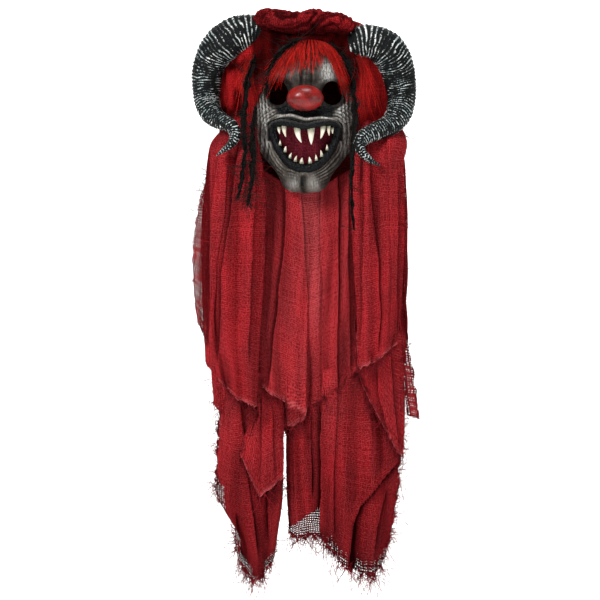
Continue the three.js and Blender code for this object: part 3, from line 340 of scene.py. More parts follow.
def weave_group():
    """Loose gauze seen along and across its threads: how much it covers, and how high it stands.

    Where it is very open only an uneven net of threads is left.
    """
    t, given, made = new_group(
        "open_weave",
        [("Vector", "Vector", None), ("Pitch", "Float", 1.6), ("Open", "Float", 0.3)],
        [("Cover", "Float"), ("Height", "Float")],
    )
    drift = {"Vector": given["Vector"], "Scale": 0.03, "Detail": 4.0, "Roughness": 0.45}
    wander = t.add("ShaderNodeTexNoise", drift)
    centred = {0: wander.outputs["Color"], 1: (0.5, 0.5, 0.5)}
    shift = t.add("ShaderNodeVectorMath", centred, operation="SUBTRACT")
    sway = {0: shift.outputs[0], 1: (14.0, 14.0, 0.0), 2: given["Vector"]}
    moved = t.add("ShaderNodeVectorMath", sway, operation="MULTIPLY_ADD")
    slub = t.math("MULTIPLY_ADD", t.grain(given["Vector"], 0.33, 2.0, 0.6), 1.3, -0.65)
    parts = t.add("ShaderNodeSeparateXYZ", {0: moved.outputs[0]})

    def crossed(pitch, seed, uneven):
        """Threads along and across at a pitch: 1 on a thread and 0 between two."""
        waves = []
        for axis in ("X", "Y"):
            step = t.math("DIVIDE", parts.outputs[axis], pitch)
            wave = t.math("ABSOLUTE", t.math("SINE", t.math("MULTIPLY", step, math.pi)))
            other = t.add("ShaderNodeCombineXYZ", {axis: t.math("FLOOR", step), "Z": seed})
            value = t.add("ShaderNodeTexWhiteNoise", {"Vector": other.outputs[0]}, noise_dimensions="3D")
            change = t.math("MULTIPLY_ADD", value.outputs["Value"], uneven, -0.5 * uneven)
            waves.append(t.math("ADD", wave, change))
        return t.math("MAXIMUM", *waves)

    high = t.math("MULTIPLY_ADD", slub, 0.5, crossed(given["Pitch"], 3.1, 0.3))
    net = t.math("MULTIPLY_ADD", slub, 0.3, crossed(t.math("MULTIPLY", given["Pitch"], 1.36), 5.3, 0.2))
    patch = t.math("MULTIPLY_ADD", t.grain(given["Vector"], 0.05, 3.0, 0.6), 0.7, -0.35)
    limit = t.math("ADD", t.math("MULTIPLY_ADD", given["Open"], 1.15, -0.25), patch)
    cover = t.span(t.math("SUBTRACT", high, limit), -0.08, 0.12)
    t.plug(made["Cover"], t.math("MAXIMUM", cover, t.span(net, 0.42, 0.66)))
    t.plug(made["Height"], t.math("MULTIPLY_ADD", slub, 0.9, high))
    return t.tree


def shade_group():
    """Slow and quick changes of tone: a share that runs from 0 to 1."""
    t, given, made = new_group(
        "tone",
        [("Vector", "Vector", None), ("Scale", "Float", 20.0), ("Stretch", "Vector", (1.0, 1.0, 1.0))],
        [("Slow", "Float"), ("Quick", "Float")],
    )
    scaled = t.add("ShaderNodeVectorMath", {0: given["Vector"], 1: given["Stretch"]}, operation="MULTIPLY")
    slow = t.grain(scaled.outputs[0], given["Scale"], 3.0, 0.55)
    quick = t.grain(scaled.outputs[0], t.math("MULTIPLY", given["Scale"], 7.0), 4.0, 0.65)
    t.plug(made["Slow"], t.span(slow, 0.3, 0.7))
    t.plug(made["Quick"], t.span(quick, 0.3, 0.7))
    return t.tree


WEAVE = weave_group()
TONE = shade_group()


def material(name):
    made = bpy.data.materials.new(name)
    made.use_nodes = True
    t = Tree(made.node_tree)
    shader = t.add("ShaderNodeBsdfPrincipled")
    output = t.add("ShaderNodeOutputMaterial", {"Surface": shader.outputs[0]})
    return made, t, shader, output


def placed(t):
    return t.add("ShaderNodeTexCoord").outputs["Object"]


def group(t, tree, **inputs):
    node = t.add("ShaderNodeGroup", node_tree=tree)
    for key, value in inputs.items():
        t.plug(node.inputs[key], value)
    return node.outputs


def bump(t, height, strength, distance):
    return t.add("ShaderNodeBump", {"Height": height, "Strength": strength, "Distance": distance}).outputs[0]


def gauze(name, dark, light, pale, pitch=3.2, solid=0.0, inside=0.5):
    """Loose cotton gauze. Marks on the mesh: open, how sheer it is; shade, painted shade for how deep in a
    fold it lies and for the layers over it; and pale. Its inner side takes painted shade by the share inside.
    """
    made, t, shader, output = material(name)
    cloth = t.add("ShaderNodeUVMap", uv_map="cloth").outputs[0]
    opened = t.math("MINIMUM", t.math("SUBTRACT", t.mark("open"), solid), 1.4)
    weave = group(t, WEAVE, Vector=cloth, Pitch=pitch, Open=opened)
    tone = group(t, TONE, Vector=cloth, Scale=0.02, Stretch=(1.0, 0.4, 1.0))
    fleck = group(t, TONE, Vector=cloth, Scale=0.06)
    base = t.blend(tone["Slow"], dark, light)
    base = t.blend(t.math("MULTIPLY", t.mark("pale"), 0.8), base, pale)
    thread = t.span(weave["Height"], 0.35, 1.25)
    deep_dark = tuple(c * 0.35 for c in dark[:3]) + (1.0,)
    # the low parts of the weave between its threads are darker: painted shade in the gaps
    base = t.blend(t.math("MULTIPLY_ADD", thread, -0.85, 0.8), base, deep_dark)
    speck = t.math("MULTIPLY", t.math("MULTIPLY", fleck["Quick"], thread), 0.4)
    base = t.blend(speck, base, pale)
    base = t.blend(t.math("MULTIPLY", t.span(opened, 0.5, 1.1), 0.85), base, deep_dark)
    # painted shade: the inner side darkens by the share inside, and so does wherever the shade mark says
    inner = t.add("ShaderNodeNewGeometry").outputs["Backfacing"]
    deep = t.math("MAXIMUM", t.mark("shade"), t.math("MULTIPLY", inner, inside))
    base = t.blend(deep, base, tuple(c * 0.05 for c in dark[:3]) + (1.0,))
    t.plug(shader.inputs["Base Color"], base)
    shader.inputs["Roughness"].default_value = 0.95
    shader.inputs["Specular IOR Level"].default_value = 0.02
    t.plug(shader.inputs["Normal"], bump(t, weave["Height"], 0.6, 0.0009))
    t.plug(shader.inputs["Alpha"], weave["Cover"])
    return made


RED = gauze("gauze_red", rgb(0.2, 0.003, 0.006), rgb(0.43, 0.008, 0.014), rgb(0.66, 0.12, 0.13))
RED_DEEP = gauze("gauze_red_deep", rgb(0.09, 0.002, 0.004), rgb(0.29, 0.006, 0.01), rgb(0.45, 0.05, 0.05))
# the hood's gauze, with more painted shade on its inner side
RED_BRIGHT = gauze(
    "gauze_red_bright", rgb(0.19, 0.003, 0.005), rgb(0.46, 0.006, 0.011), rgb(0.75, 0.06, 0.05), inside=0.7
)
BLACK = gauze(
    "gauze_black", rgb(0.004, 0.003, 0.003), rgb(0.009, 0.008, 0.008), rgb(0.04, 0.036, 0.032), pitch=2.4
)
MAROON = gauze(
    "gauze_maroon", rgb(0.055, 0.004, 0.008), rgb(0.13, 0.009, 0.018), rgb(0.25, 0.04, 0.06),
    pitch=2.2, solid=1.0,
)


def strand_material(name, low, high, roughness):
    made, t, shader, output = material(name)
    tone = group(t, TONE, Vector=placed(t), Scale=60.0)
    share = t.math("MULTIPLY_ADD", t.mark("tint"), 0.7, t.math("MULTIPLY", tone["Quick"], 0.3))
    t.plug(shader.inputs["Base Color"], t.blend(share, low, high))
    shader.inputs["Roughness"].default_value = roughness
    shader.inputs["Specular IOR Level"].default_value = 0.12
    return made


THREAD_RED = strand_material("thread_red", rgb(0.014, 0.002, 0.003), rgb(0.34, 0.012, 0.02), 0.9)
THREAD_BLACK = strand_material("thread_black", rgb(0.004, 0.004, 0.004), rgb(0.02, 0.018, 0.016), 0.9)
HAIR_RED = strand_material("hair_red", rgb(0.07, 0.002, 0.002), rgb(0.78, 0.02, 0.012), 0.45)


def latex_material():
    """Painted latex: grey-brown skin, dark washes in its creases, dry brush on its ridges.

    Black and white paint lies over it where the marks on the mesh say so, and a darkening that is partly dark
    wash and partly painted shade.
    """
    made, t, shader, output = material("latex_face")
    place = placed(t)
    streak = group(t, TONE, Vector=place, Scale=38.0, Stretch=(1.9, 1.0, 0.3))
    cloud = group(t, TONE, Vector=place, Scale=30.0)
    skin = t.blend(cloud["Slow"], rgb(0.04, 0.032, 0.025), rgb(0.15, 0.13, 0.11))
    skin = t.blend(t.math("MULTIPLY", streak["Quick"], 0.6), skin, rgb(0.022, 0.018, 0.015))
    raised = t.math("MULTIPLY", t.mark("ridge"), t.span(streak["Quick"], 0.0, 1.0, 0.1, 0.9))
    skin = t.blend(raised, skin, rgb(0.33, 0.31, 0.275))
    brush = t.math("MULTIPLY", t.mark("white"), t.span(streak["Quick"], 0.15, 0.85, 0.15, 1.0))
    skin = t.blend(brush, skin, rgb(0.72, 0.72, 0.69))
    skin = t.blend(t.math("MULTIPLY", t.mark("cavity"), 0.97), skin, rgb(0.01, 0.008, 0.007))
    # darkening that is partly dark wash and partly painted shade
    wash_and_shade = t.math("MULTIPLY", t.mark("wash_and_shade"), t.span(cloud["Quick"], 0.0, 1.0, 0.75, 1.0))
    skin = t.blend(wash_and_shade, skin, rgb(0.01, 0.009, 0.008))
    black = t.mark("black")
    skin = t.blend(black, skin, rgb(0.003, 0.004, 0.0045))
    t.plug(shader.inputs["Base Color"], skin)
    rough = t.math("MULTIPLY_ADD", cloud["Quick"], 0.2, 0.42)
    t.plug(shader.inputs["Roughness"], t.math("MULTIPLY_ADD", black, -0.3, rough))
    shader.inputs["Specular IOR Level"].default_value = 0.12
    height = t.math("MULTIPLY_ADD", streak["Quick"], 0.6, t.math("MULTIPLY", cloud["Quick"], 0.4))
    t.plug(shader.inputs["Normal"], bump(t, height, 0.6, 0.0014))
    return made


def horn_material():
    """Black rubber with silver paint dragged over the ribs."""
    made, t, shader, output = material("horn_black")
    place = placed(t)
    tone = group(t, TONE, Vector=place, Scale=55.0)
    dragged = t.math("MULTIPLY_ADD", tone["Quick"], 0.8, -0.4)
    paint = t.span(t.math("ADD", t.mark("rib"), dragged), 0.56, 0.86)
    silver = t.blend(tone["Slow"], rgb(0.4, 0.46, 0.45), rgb(0.95, 0.97, 0.94))
    # here and there the silver paint takes a teal tint: a painted cool highlight
    silver = t.blend(t.mark("teal_highlight"), silver, rgb(0.3, 0.5, 0.52))
    base = t.blend(tone["Quick"], rgb(0.003, 0.003, 0.003), rgb(0.01, 0.012, 0.013))
    t.plug(shader.inputs["Base Color"], t.blend(t.math("MULTIPLY", paint, t.mark("paint")), base, silver))
    t.plug(shader.inputs["Roughness"], t.math("MULTIPLY_ADD", tone["Quick"], 0.25, 0.4))
    shader.inputs["Specular IOR Level"].default_value = 0.08
    t.plug(shader.inputs["Normal"], bump(t, tone["Quick"], 0.5, 0.0012))
    return made


def nose_material():
    """Glossy red latex, mottled darker in patches, with painted shade on its underside."""
    made, t, shader, output = material("nose_red")
    tone = group(t, TONE, Vector=placed(t), Scale=45.0)
    base = t.blend(tone["Slow"], rgb(0.1, 0.007, 0.006), rgb(0.3, 0.01, 0.009))
    # mottled darker patches, and painted shade on the ball's underside
    base = t.blend(t.mark("mottle_and_shade"), base, rgb(0.07, 0.02, 0.018))
    t.plug(shader.inputs["Base Color"], base)
    t.plug(shader.inputs["Roughness"], t.math("MULTIPLY_ADD", tone["Quick"], 0.15, 0.24))
    shader.inputs["Specular IOR Level"].default_value = 0.25
    shader.inputs["Coat Weight"].default_value = 0.16
    shader.inputs["Coat Roughness"].default_value = 0.16
    t.plug(shader.inputs["Normal"], bump(t, tone["Quick"], 0.12, 0.001))
    return made


def tooth_material():
    """Ivory teeth, brown-green at the gum."""
    made, t, shader, output = material("tooth_ivory")
    tone = group(t, TONE, Vector=placed(t), Scale=120.0, Stretch=(1.0, 1.0, 0.4))
    base = t.blend(tone["Slow"], rgb(0.66, 0.6, 0.44), rgb(0.84, 0.81, 0.68))
    gum = t.math("MULTIPLY", t.mark("root"), t.span(tone["Quick"], 0.0, 1.0, 0.65, 1.0))
    base = t.blend(gum, base, rgb(0.12, 0.125, 0.07))
    t.plug(shader.inputs["Base Color"], base)
    t.plug(shader.inputs["Roughness"], t.math("MULTIPLY_ADD", tone["Quick"], 0.15, 0.22))
    t.plug(shader.inputs["Normal"], bump(t, tone["Quick"], 0.2, 0.0006))
    return made


LATEX_FACE = latex_material()
HORN_BLACK = horn_material()
NOSE_RED = nose_material()
TOOTH_IVORY = tooth_material()


# Tables, the same as the solid part's: shares of the sizes above

HEAD_RINGS = table(
    "up wide front middle back",
    (-0.98, 0.27, 0.88, 0.74, -0.6),
    (-0.955, 0.4, 0.965, 0.66, -0.35),
    (-0.88, 0.53, 1, 0.52, 0.05),
    (-0.81, 0.71, 1, 0.36, 0.4),
    (-0.745, 0.865, 1.03, 0.2, 0.6),
    (-0.68, 0.945, 1.06, 0.08, 0.8),
    (-0.6, 0.99, 1.08, 0, 0.9),
    (-0.5, 1, 1.02, 0, 0.97),
    (-0.41, 0.99, 0.95, 0, 0.99),
    (-0.32, 0.985, 0.99, 0, 1),
    (-0.23, 0.97, 0.96, 0, 0.98),
    (-0.14, 0.92, 0.85, 0, 0.9),
    (-0.075, 0.81, 0.69, 0, 0.77),
    (-0.025, 0.6, 0.46, 0, 0.56),
    (0.002, 0.3, 0.22, 0, 0.28),
)
MOUTH_OUTLINE = table(
    "across up",
    (-1, -0.04),
    (-0.94, -0.3),
    (-0.74, -0.62),
    (-0.42, -0.9),
    (0, -1),
    (0.42, -0.9),
    (0.74, -0.62),
    (0.94, -0.3),
    (1, -0.04),
    (0.8, 0.05),
    (0.4, 0.02),
    (0, -0.04),
    (-0.4, 0.02),
    (-0.8, 0.05),
)
OPEN_BACK = table(
    "back up",
    (1.6, -0.2),
    (0.7, -0.24),
    (0.12, -0.5),
    (-0.02, -0.66),
    (-0.3, -0.86),
    (-0.5, -1.2),
    (1.6, -1.2),
)
UPPER_TEETH = table(
    "across long root lean",
    (-0.88, 0.17, 0.5, 0.12),
    (-0.71, 0.28, 0.66, 0.2),
    (-0.26, 0.38, 0.92, 0.3),
    (0.2, 0.42, 1, 0.02),
    (0.6, 0.32, 0.75, -0.2),
    (0.79, 0.24, 0.56, 0.08),
    (0.92, 0.15, 0.42, 0.05),
)
LOWER_TEETH = table(
    "across long root lean",
    (-0.84, 0.13, 0.4, 0),
    (-0.67, 0.15, 0.46, 0.15),
    (-0.51, 0.14, 0.42, 0.35),
    (-0.33, 0.15, 0.46, 0.3),
    (-0.12, 0.16, 0.6, 0.12),
    (0.17, 0.17, 0.56, -0.15),
    (0.38, 0.15, 0.42, -0.12),
    (0.56, 0.17, 0.46, -0.18),
    (0.74, 0.14, 0.4, 0),
)
RIGHT_HORN = table(
    "across up forward girth",
    (0.34, -0.176, 0.27, 0.7),
    (0.43, -0.156, 0.36, 0.78),
    (0.574, -0.144, 0.4, 0.88),
    (0.716, -0.19, 0.36, 0.97),
    (0.808, -0.284, 0.24, 0.94),
    (0.853, -0.408, 0.13, 0.88),
    (0.866, -0.524, 0.12, 0.77),
    (0.842, -0.632, 0.22, 0.68),
    (0.76, -0.714, 0.4, 0.58),
    (0.637, -0.76, 0.62, 0.5),
    (0.521, -0.808, 0.81, 0.41),
    (0.478, -0.862, 0.9, 0.31),
    (0.516, -0.922, 0.95, 0.24),
    (0.584, -0.968, 0.98, 0.16),
    (0.66, -1, 1, 0.04),
)
LEFT_HORN = table(
    "across up forward girth",
    (-0.35, -0.1, 0.24, 0.74),
    (-0.475, -0.076, 0.34, 0.86),
    (-0.6, -0.094, 0.38, 0.98),
    (-0.71, -0.146, 0.36, 1),
    (-0.812, -0.224, 0.26, 0.92),
    (-0.868, -0.32, 0.17, 0.84),
    (-0.885, -0.42, 0.12, 0.78),
    (-0.882, -0.524, 0.12, 0.71),
    (-0.858, -0.602, 0.2, 0.63),
    (-0.804, -0.662, 0.35, 0.54),
    (-0.726, -0.7, 0.54, 0.44),
    (-0.65, -0.736, 0.7, 0.36),
    (-0.622, -0.796, 0.8, 0.29),
    (-0.652, -0.85, 0.86, 0.23),
    (-0.715, -0.892, 0.9, 0.15),
    (-0.784, -0.932, 0.93, 0.04),
)
HOOD_RINGS = table(
    "up wide front back",
    (-1, 1.08, 0.42, 1),
    (-0.85, 1.05, 0.5, 1.02),
    (-0.65, 1.02, 0.62, 1.03),
    (-0.45, 1, 0.78, 1.02),
    (-0.28, 0.98, 0.92, 0.98),
    (-0.14, 0.9, 0.98, 0.88),
    (-0.05, 0.78, 0.92, 0.74),
    (0.01, 0.6, 0.76, 0.54),
    (0.036, 0.34, 0.44, 0.3),
)
BROW_ROLL = table(
    "across up front thick",
    (-0.62, -0.01, 0.5, 0.5),
    (-0.5, 0, 0.74, 0.82),
    (-0.3, -0.02, 0.98, 1),
    (-0.08, -0.045, 1.1, 0.92),
    (0.14, -0.03, 1.08, 1),
    (0.34, -0.035, 0.96, 1.02),
    (0.5, -0.05, 0.78, 0.8),
    (0.6, -0.05, 0.62, 0.45),
)
SHROUD_SECTIONS = table(
    "down wide front back opening pleat",
    (0, 0.76, 0.5, 1.06, 62, 0.1),
    (0.07, 0.9, 0.62, 1.1, 58, 0.4),
    (0.22, 0.93, 0.8, 1.02, 52, 0.7),
    (0.45, 0.93, 0.9, 0.9, 46, 0.9),
    (0.7, 0.93, 0.86, 0.8, 42, 0.9),
    (1, 0.9, 0.7, 0.7, 40, 0.8),
)
SHROUD_HEM = table(
    "around reach",
    (0, 0.97),
    (0.08, 1.04),
    (0.17, 0.98),
    (0.27, 1.05),
    (0.38, 0.99),
    (0.5, 1.06),
    (0.62, 0.98),
    (0.73, 1.03),
    (0.84, 0.97),
    (0.93, 1.03),
    (1, 1),
)
FRINGE = table(
    "from to drop",
    (-0.26, -0.74, 0.45),
    (-0.14, -0.42, 0.37),
    (0.02, -0.06, 0.3),
    (0.18, 0.3, 0.33),
    (0.32, 0.6, 0.39),
    (0.46, 0.85, 0.47),
)
FEATURES = table(
    "across up wide tall rise",
    (0.42, -0.335, 0.4, 0.045, 0.95),
    (0.53, -0.43, 0.3, 0.075, -1.7),
    (0.66, -0.55, 0.26, 0.06, 1.15),
    (0.82, -0.7, 0.2, 0.07, -0.35),
    (0.25, -0.59, 0.45, 0.045, 0.8),
    (0.85, -0.26, 0.2, 0.07, -0.4),
    (0.16, -0.945, 0.15, 0.04, 0.75),
)
PANELS = {
    "drape_centre": {
        "folds": 4, "fold": 0.45, "drift": 0.5, "bow": 0.25,
        "top": table("u at", (0, 0.262), (0.5, 0.3), (1, 0.262)),
        "hem": table("u at", (0, 0.648), (0.2, 0.672), (0.43, 0.69), (0.75, 0.655), (1, 0.618)),
        "rows": table(
            "v left right ahead",
            (0, -0.43, 0.45, 0.8),
            (0.25, -0.38, 0.5, 1.05),
            (0.5, -0.41, 0.5, 1.1),
            (0.75, -0.4, 0.49, 1.1),
            (1, -0.367, 0.5, 1.05),
        ),
    },
    "drape_left": {
        "folds": 2.5, "fold": 0.5, "drift": -0.4, "bow": 0.35,
        "top": table("u at", (0, 0.185), (1, 0.16)),
        "hem": table("u at", (0, 0.634), (0.5, 0.668), (1, 0.685)),
        "rows": table(
            "v left right ahead",
            (0, -0.8, -0.5, 0.1),
            (0.1, -0.92, -0.45, 1.25),
            (0.25, -0.965, -0.38, 1.75),
            (0.5, -1, -0.386, 1.95),
            (0.75, -0.965, -0.43, 1.9),
            (1, -0.83, -0.464, 1.75),
        ),
    },
    "drape_right": {
        "folds": 2.3, "fold": 0.5, "drift": 0.3, "bow": 0.35,
        "top": table("u at", (0, 0.165), (1, 0.185)),
        "hem": table("u at", (0, 0.618), (0.5, 0.6), (1, 0.572)),
        "rows": table(
            "v left right ahead",
            (0, 0.5, 0.8, 0.1),
            (0.1, 0.46, 0.92, 1.25),
            (0.25, 0.43, 0.95, 1.75),
            (0.5, 0.45, 0.955, 1.9),
            (0.75, 0.49, 0.935, 1.8),
            (1, 0.502, 0.889, 1.6),
        ),
    },
    "tier_left": {
        "folds": 0.8, "fold": 0.3, "drift": 0.3, "bow": 0.15,
        "top": table("u at", (0, 0.62), (1, 0.62)),
        "hem": table("u at", (0, 0.765), (0.45, 0.842), (1, 0.806)),
        "rows": table(
            "v left right ahead",
            (0, -0.5, -0.21, 0.95),
            (0.3, -0.52, -0.203, 0.85),
            (1, -0.637, -0.203, 0.75),
        ),
    },
    "tier_right": {
        "folds": 1.1, "fold": 0.3, "drift": 0.2, "bow": 0.2,
        "top": table("u at", (0, 0.55), (1, 0.55)),
        "hem": table("u at", (0, 0.618), (0.2, 0.66), (0.4, 0.692), (0.6, 0.723), (0.8, 0.757), (1, 0.776)),
        "rows": table(
            "v left right ahead",
            (0, 0.49, 0.93, 0.95),
            (0.5, 0.5, 0.97, 0.85),
            (1, 0.5, 0.955, 0.75),
        ),
    },
    "tail_left": {
        "folds": 2.6, "fold": 0.5, "drift": 0.4, "bow": 0.4,
        "top": table("u at", (0, 0.61), (1, 0.63)),
        "hem": table(
            "u at",
            (0, 0.93),
            (0.12, 0.96),
            (0.25, 0.977),
            (0.45, 1),
            (0.7, 0.99),
            (0.85, 0.973),
            (1, 0.956),
        ),
        "rows": table(
            "v left right ahead",
            (0, -0.85, -0.126, 0.25),
            (0.25, -0.86, -0.2, 0.3),
            (0.5, -0.885, -0.203, 0.35),
            (0.7, -0.875, -0.222, 0.3),
            (0.84, -0.71, -0.26, 0.25),
            (1, -0.686, -0.3, 0.2),
        ),
    },
    "tail_right": {
        "folds": 4.2, "fold": 0.5, "drift": -0.6, "bow": 0.45,
        "top": table("u at", (0, 0.62), (1, 0.6)),
        "hem": table(
            "u at",
            (0, 0.915),
            (0.08, 0.922),
            (0.3, 0.917),
            (0.4, 0.933),
            (0.48, 0.962),
            (0.6, 0.977),
            (0.7, 0.987),
            (0.8, 0.991),
            (0.9, 0.971),
            (0.95, 0.949),
            (1, 0.924),
        ),
        "rows": table(
            "v left right ahead",
            (0, -0.09, 0.9, 0.05),
            (0.25, -0.174, 0.97, 0.15),
            (0.5, -0.188, 0.96, 0.2),
            (0.75, -0.179, 0.908, 0.2),
            (1, -0.155, 0.83, 0.15),
        ),
    },
    "strip_left": {
        "folds": 1, "fold": 0.25, "drift": 0.6, "bow": 0.1,
        "top": table("u at", (0, 0.24), (1, 0.23)),
        "hem": table("u at", (0, 0.53), (1, 0.57)),
        "rows": table(
            "v left right ahead",
            (0, -0.86, -0.66, 0),
            (0.12, -0.96, -0.78, 0.45),
            (0.3, -1.045, -0.86, 0.5),
            (0.6, -1.1, -0.89, 0.55),
            (0.8, -1.09, -0.91, 0.5),
            (1, -1.05, -0.95, 0.45),
        ),
    },
    "strip_right": {
        "folds": 1, "fold": 0.25, "drift": -0.6, "bow": 0.1,
        "top": table("u at", (0, 0.23), (1, 0.24)),
        "hem": table("u at", (0, 0.7), (1, 0.706)),
        "rows": table(
            "v left right ahead",
            (0, 0.66, 0.86, 0),
            (0.12, 0.78, 0.94, 0.45),
            (0.3, 0.85, 0.966, 0.5),
            (0.6, 0.88, 0.985, 0.55),
            (0.8, 0.915, 1.06, 0.5),
            (1, 0.985, 1.13, 0.45),
        ),
    },
}
BLACK_LOCKS = {
    "black_lock_left_inner": table(
        "across up girth ahead",
        (-0.12, -0.115, 0.9, 0),
        (-0.3, -0.155, 1, 0),
        (-0.54, -0.225, 0.9, 0),
        (-0.68, -0.3, 0.7, 0),
        (-0.76, -0.43, 0.4, 0),
    ),
    "black_lock_left_outer": table(
        "across up girth ahead",
        (-0.9, -0.17, 0.8, 1.2),
        (-1.03, -0.27, 1, 1.35),
        (-1.13, -0.42, 0.9, 1.6),
        (-1.18, -0.6, 1, 2),
        (-1.15, -0.76, 0.9, 2.35),
        (-1.2, -0.9, 0.7, 2.45),
        (-1.28, -1.02, 0.4, 2.5),
    ),
    "black_lock_left_front": table(
        "across up girth ahead",
        (-0.95, -0.5, 0.6, 1.75),
        (-1, -0.64, 1, 2.1),
        (-1, -0.8, 0.9, 2.4),
        (-1.03, -0.94, 0.8, 2.55),
        (-1.09, -1.06, 0.4, 2.6),
    ),
    "black_lock_right": table(
        "across up girth ahead",
        (0.48, -0.14, 0.9, 0),
        (0.75, -0.23, 1, 0),
        (0.9, -0.34, 0.9, 0),
        (0.95, -0.47, 0.8, 1.7),
        (0.95, -0.62, 0.9, 2.05),
        (0.9, -0.8, 0.8, 2.4),
        (0.89, -1, 0.6, 2.5),
        (0.93, -1.2, 0.3, 2.6),
    ),
}
SIDE_HAIR = [
    table(
        "across up girth ahead",
        (1, -0.2, 1.2, 0.9),
        (1.15, -0.33, 1.4, 1.3),
        (1.12, -0.47, 1.1, 1.45),
        (1.2, -0.6, 0.5, 1.55),
    ),
    table(
        "across up girth ahead",
        (1.02, -0.21, 1.2, 1.2),
        (1.25, -0.36, 1.2, 1.3),
        (1.38, -0.5, 0.5, 1.35),
    ),
]


# The head's surface, the same as the solid part's

CHIN_CLEFT = {"up": -0.945, "wide": 0.05, "tall": 0.05, "rise": -0.5}
BROW_CLEFT = {"up": -0.36, "wide": 0.1, "tall": 0.05, "rise": -0.5}


def relief(x, z):
    """How far the brows, cheeks, lips and chin stand out of the plain head."""
    across, up = x / FACE_HALF_WIDTH, z / FACE_LENGTH
    rise = 0.0
    for middle, level, wide, tall, high in zip(*FEATURES.values()):
        sides = bell((across - middle) / wide) + bell((across + middle) / wide)
        rise = rise + high * bell((up - level) / tall) * sides
    for cleft in (CHIN_CLEFT, BROW_CLEFT):
        rise = rise + cleft["rise"] * bell(across / cleft["wide"]) * bell((up - cleft["up"]) / cleft["tall"])
    return rise * RELIEF


def head_point(turn, up, offset=0.0):
    """A place on the head: turn runs round from the front, up is a share of the face's length."""
    sine, cosine = np.sin(turn), np.cos(turn)
    middle = -column(HEAD_RINGS, up, "middle") * FACE_REACH
    x = (column(HEAD_RINGS, up, "wide") * FACE_HALF_WIDTH + offset) * power(sine, HEAD_ROUND)
    z = up * FACE_LENGTH
    ahead = -column(HEAD_RINGS, up, "front") * FACE_REACH - middle - offset
    behind = middle - column(HEAD_RINGS, up, "back") * HEAD_REACH - offset
    y = middle + np.where(cosine > 0, ahead, behind) * power(cosine, HEAD_ROUND)
    return stack(x, y - relief(x, z) * smooth(cosine * 2.2), z)


def face_y(x, z):
    """How far forward the face's surface is at a place seen from the front."""
    up = z / FACE_LENGTH
    middle = -column(HEAD_RINGS, up, "middle") * FACE_REACH
    share = np.clip(np.abs(x) / (column(HEAD_RINGS, up, "wide") * FACE_HALF_WIDTH), 0, 1)
    cosine = np.sqrt(np.maximum(0, 1 - share ** (2 / HEAD_ROUND)))
    front = -column(HEAD_RINGS, up, "front") * FACE_REACH
    return middle + (front - middle) * cosine**HEAD_ROUND - relief(x, z) * smooth(cosine * 2.2)


# The level that the mouth grows from, as a share of its drop
MOUTH_MIDDLE = 0.45


def mouth_line(count, grow=0.0):
    """The mouth's outline as (x, z), grown outward."""
    points = np.column_stack([MOUTH_OUTLINE["across"], MOUTH_OUTLINE["up"]])
    line = smooth_line(points, np.arange(count) / count, closed=True)
    x = line[:, 0] * (MOUTH_HALF_WIDTH + grow)
    z = MOUTH_TOP - MOUTH_MIDDLE * MOUTH_DROP + (line[:, 1] + MOUTH_MIDDLE) * (MOUTH_DROP + 2 * grow)
    return np.column_stack([x, z])


MOUTH = mouth_line(240)


def inside(outline, x, z):
    """Which places lie inside a closed outline of (x, z)."""
    hit = np.zeros(np.shape(x), bool)
    for (x0, z0), (x1, z1) in zip(outline, np.roll(outline, -1, 0)):
        if z0 != z1:
            hit ^= ((z0 > z) != (z1 > z)) & (x < (x1 - x0) * (z - z0) / (z1 - z0) + x0)
    return hit


def to_mouth(x, z):
    """How far a place lies outside the mouth's edge, less than 0 inside it."""
    flat = np.column_stack([np.ravel(x), np.ravel(z)])
    far = np.full(len(flat), np.inf)
    for point in MOUTH:
        np.minimum(far, np.hypot(flat[:, 0] - point[0], flat[:, 1] - point[1]), out=far)
    far = far.reshape(np.shape(x))
    return np.where(inside(MOUTH, x, z), -far, far)


def to_eye(x, z):
    """How far out of an eye hole a place is, in eye sizes: 1 on its edge."""
    return np.hypot((np.abs(x) - EYE_APART) / EYE_HALF_WIDTH, (z - EYE_HEIGHT) / EYE_HALF_TALL)


def in_holes(x, z, eye_size=1.0):
    """Which places lie in the mouth or in an eye hole."""
    return inside(MOUTH, x, z) | (to_eye(x, z) < eye_size)


def in_open_back(y, z):
    back = np.column_stack([OPEN_BACK["back"] * HEAD_REACH, OPEN_BACK["up"] * FACE_LENGTH])
    return inside(back, y, z)


# The face

FACE_ROWS, FACE_COLUMNS = 290, 300
FACE_ENDS = (-0.98, 0.002)

# The rings round an eye hole where the bags under it fold in, in eye sizes, and how deep in millimetres
EYE_BAGS = ((1.3, 1.5), (1.62, 1.3), (1.95, 1.0))

# The white ridge over the upper lip: its level across the face
RIDGE = table(
    "across level",
    (-60, -173),
    (-51, -168.5),
    (-23, -165.5),
    (0, -172),
    (25, -170),
    (56, -173),
    (64, -177),
)

# Patches of white paint in millimetres, and how strong they are
WHITE_PATCHES = table(
    "across level wide tall strong",
    (-48, -88, 6, 10, 0.7),
    (-26, -92, 13, 14, 0.45),
    (-70, -152, 14, 15, 0.62),
    (60, -154, 13, 13, 0.75),
)


def ridge_level(x):
    return column(RIDGE, np.clip(x, RIDGE["across"][0], RIDGE["across"][-1]), "level")


def chin_lobes(x):
    return bell((x + 19) / 10) + bell((x - 15) / 10)


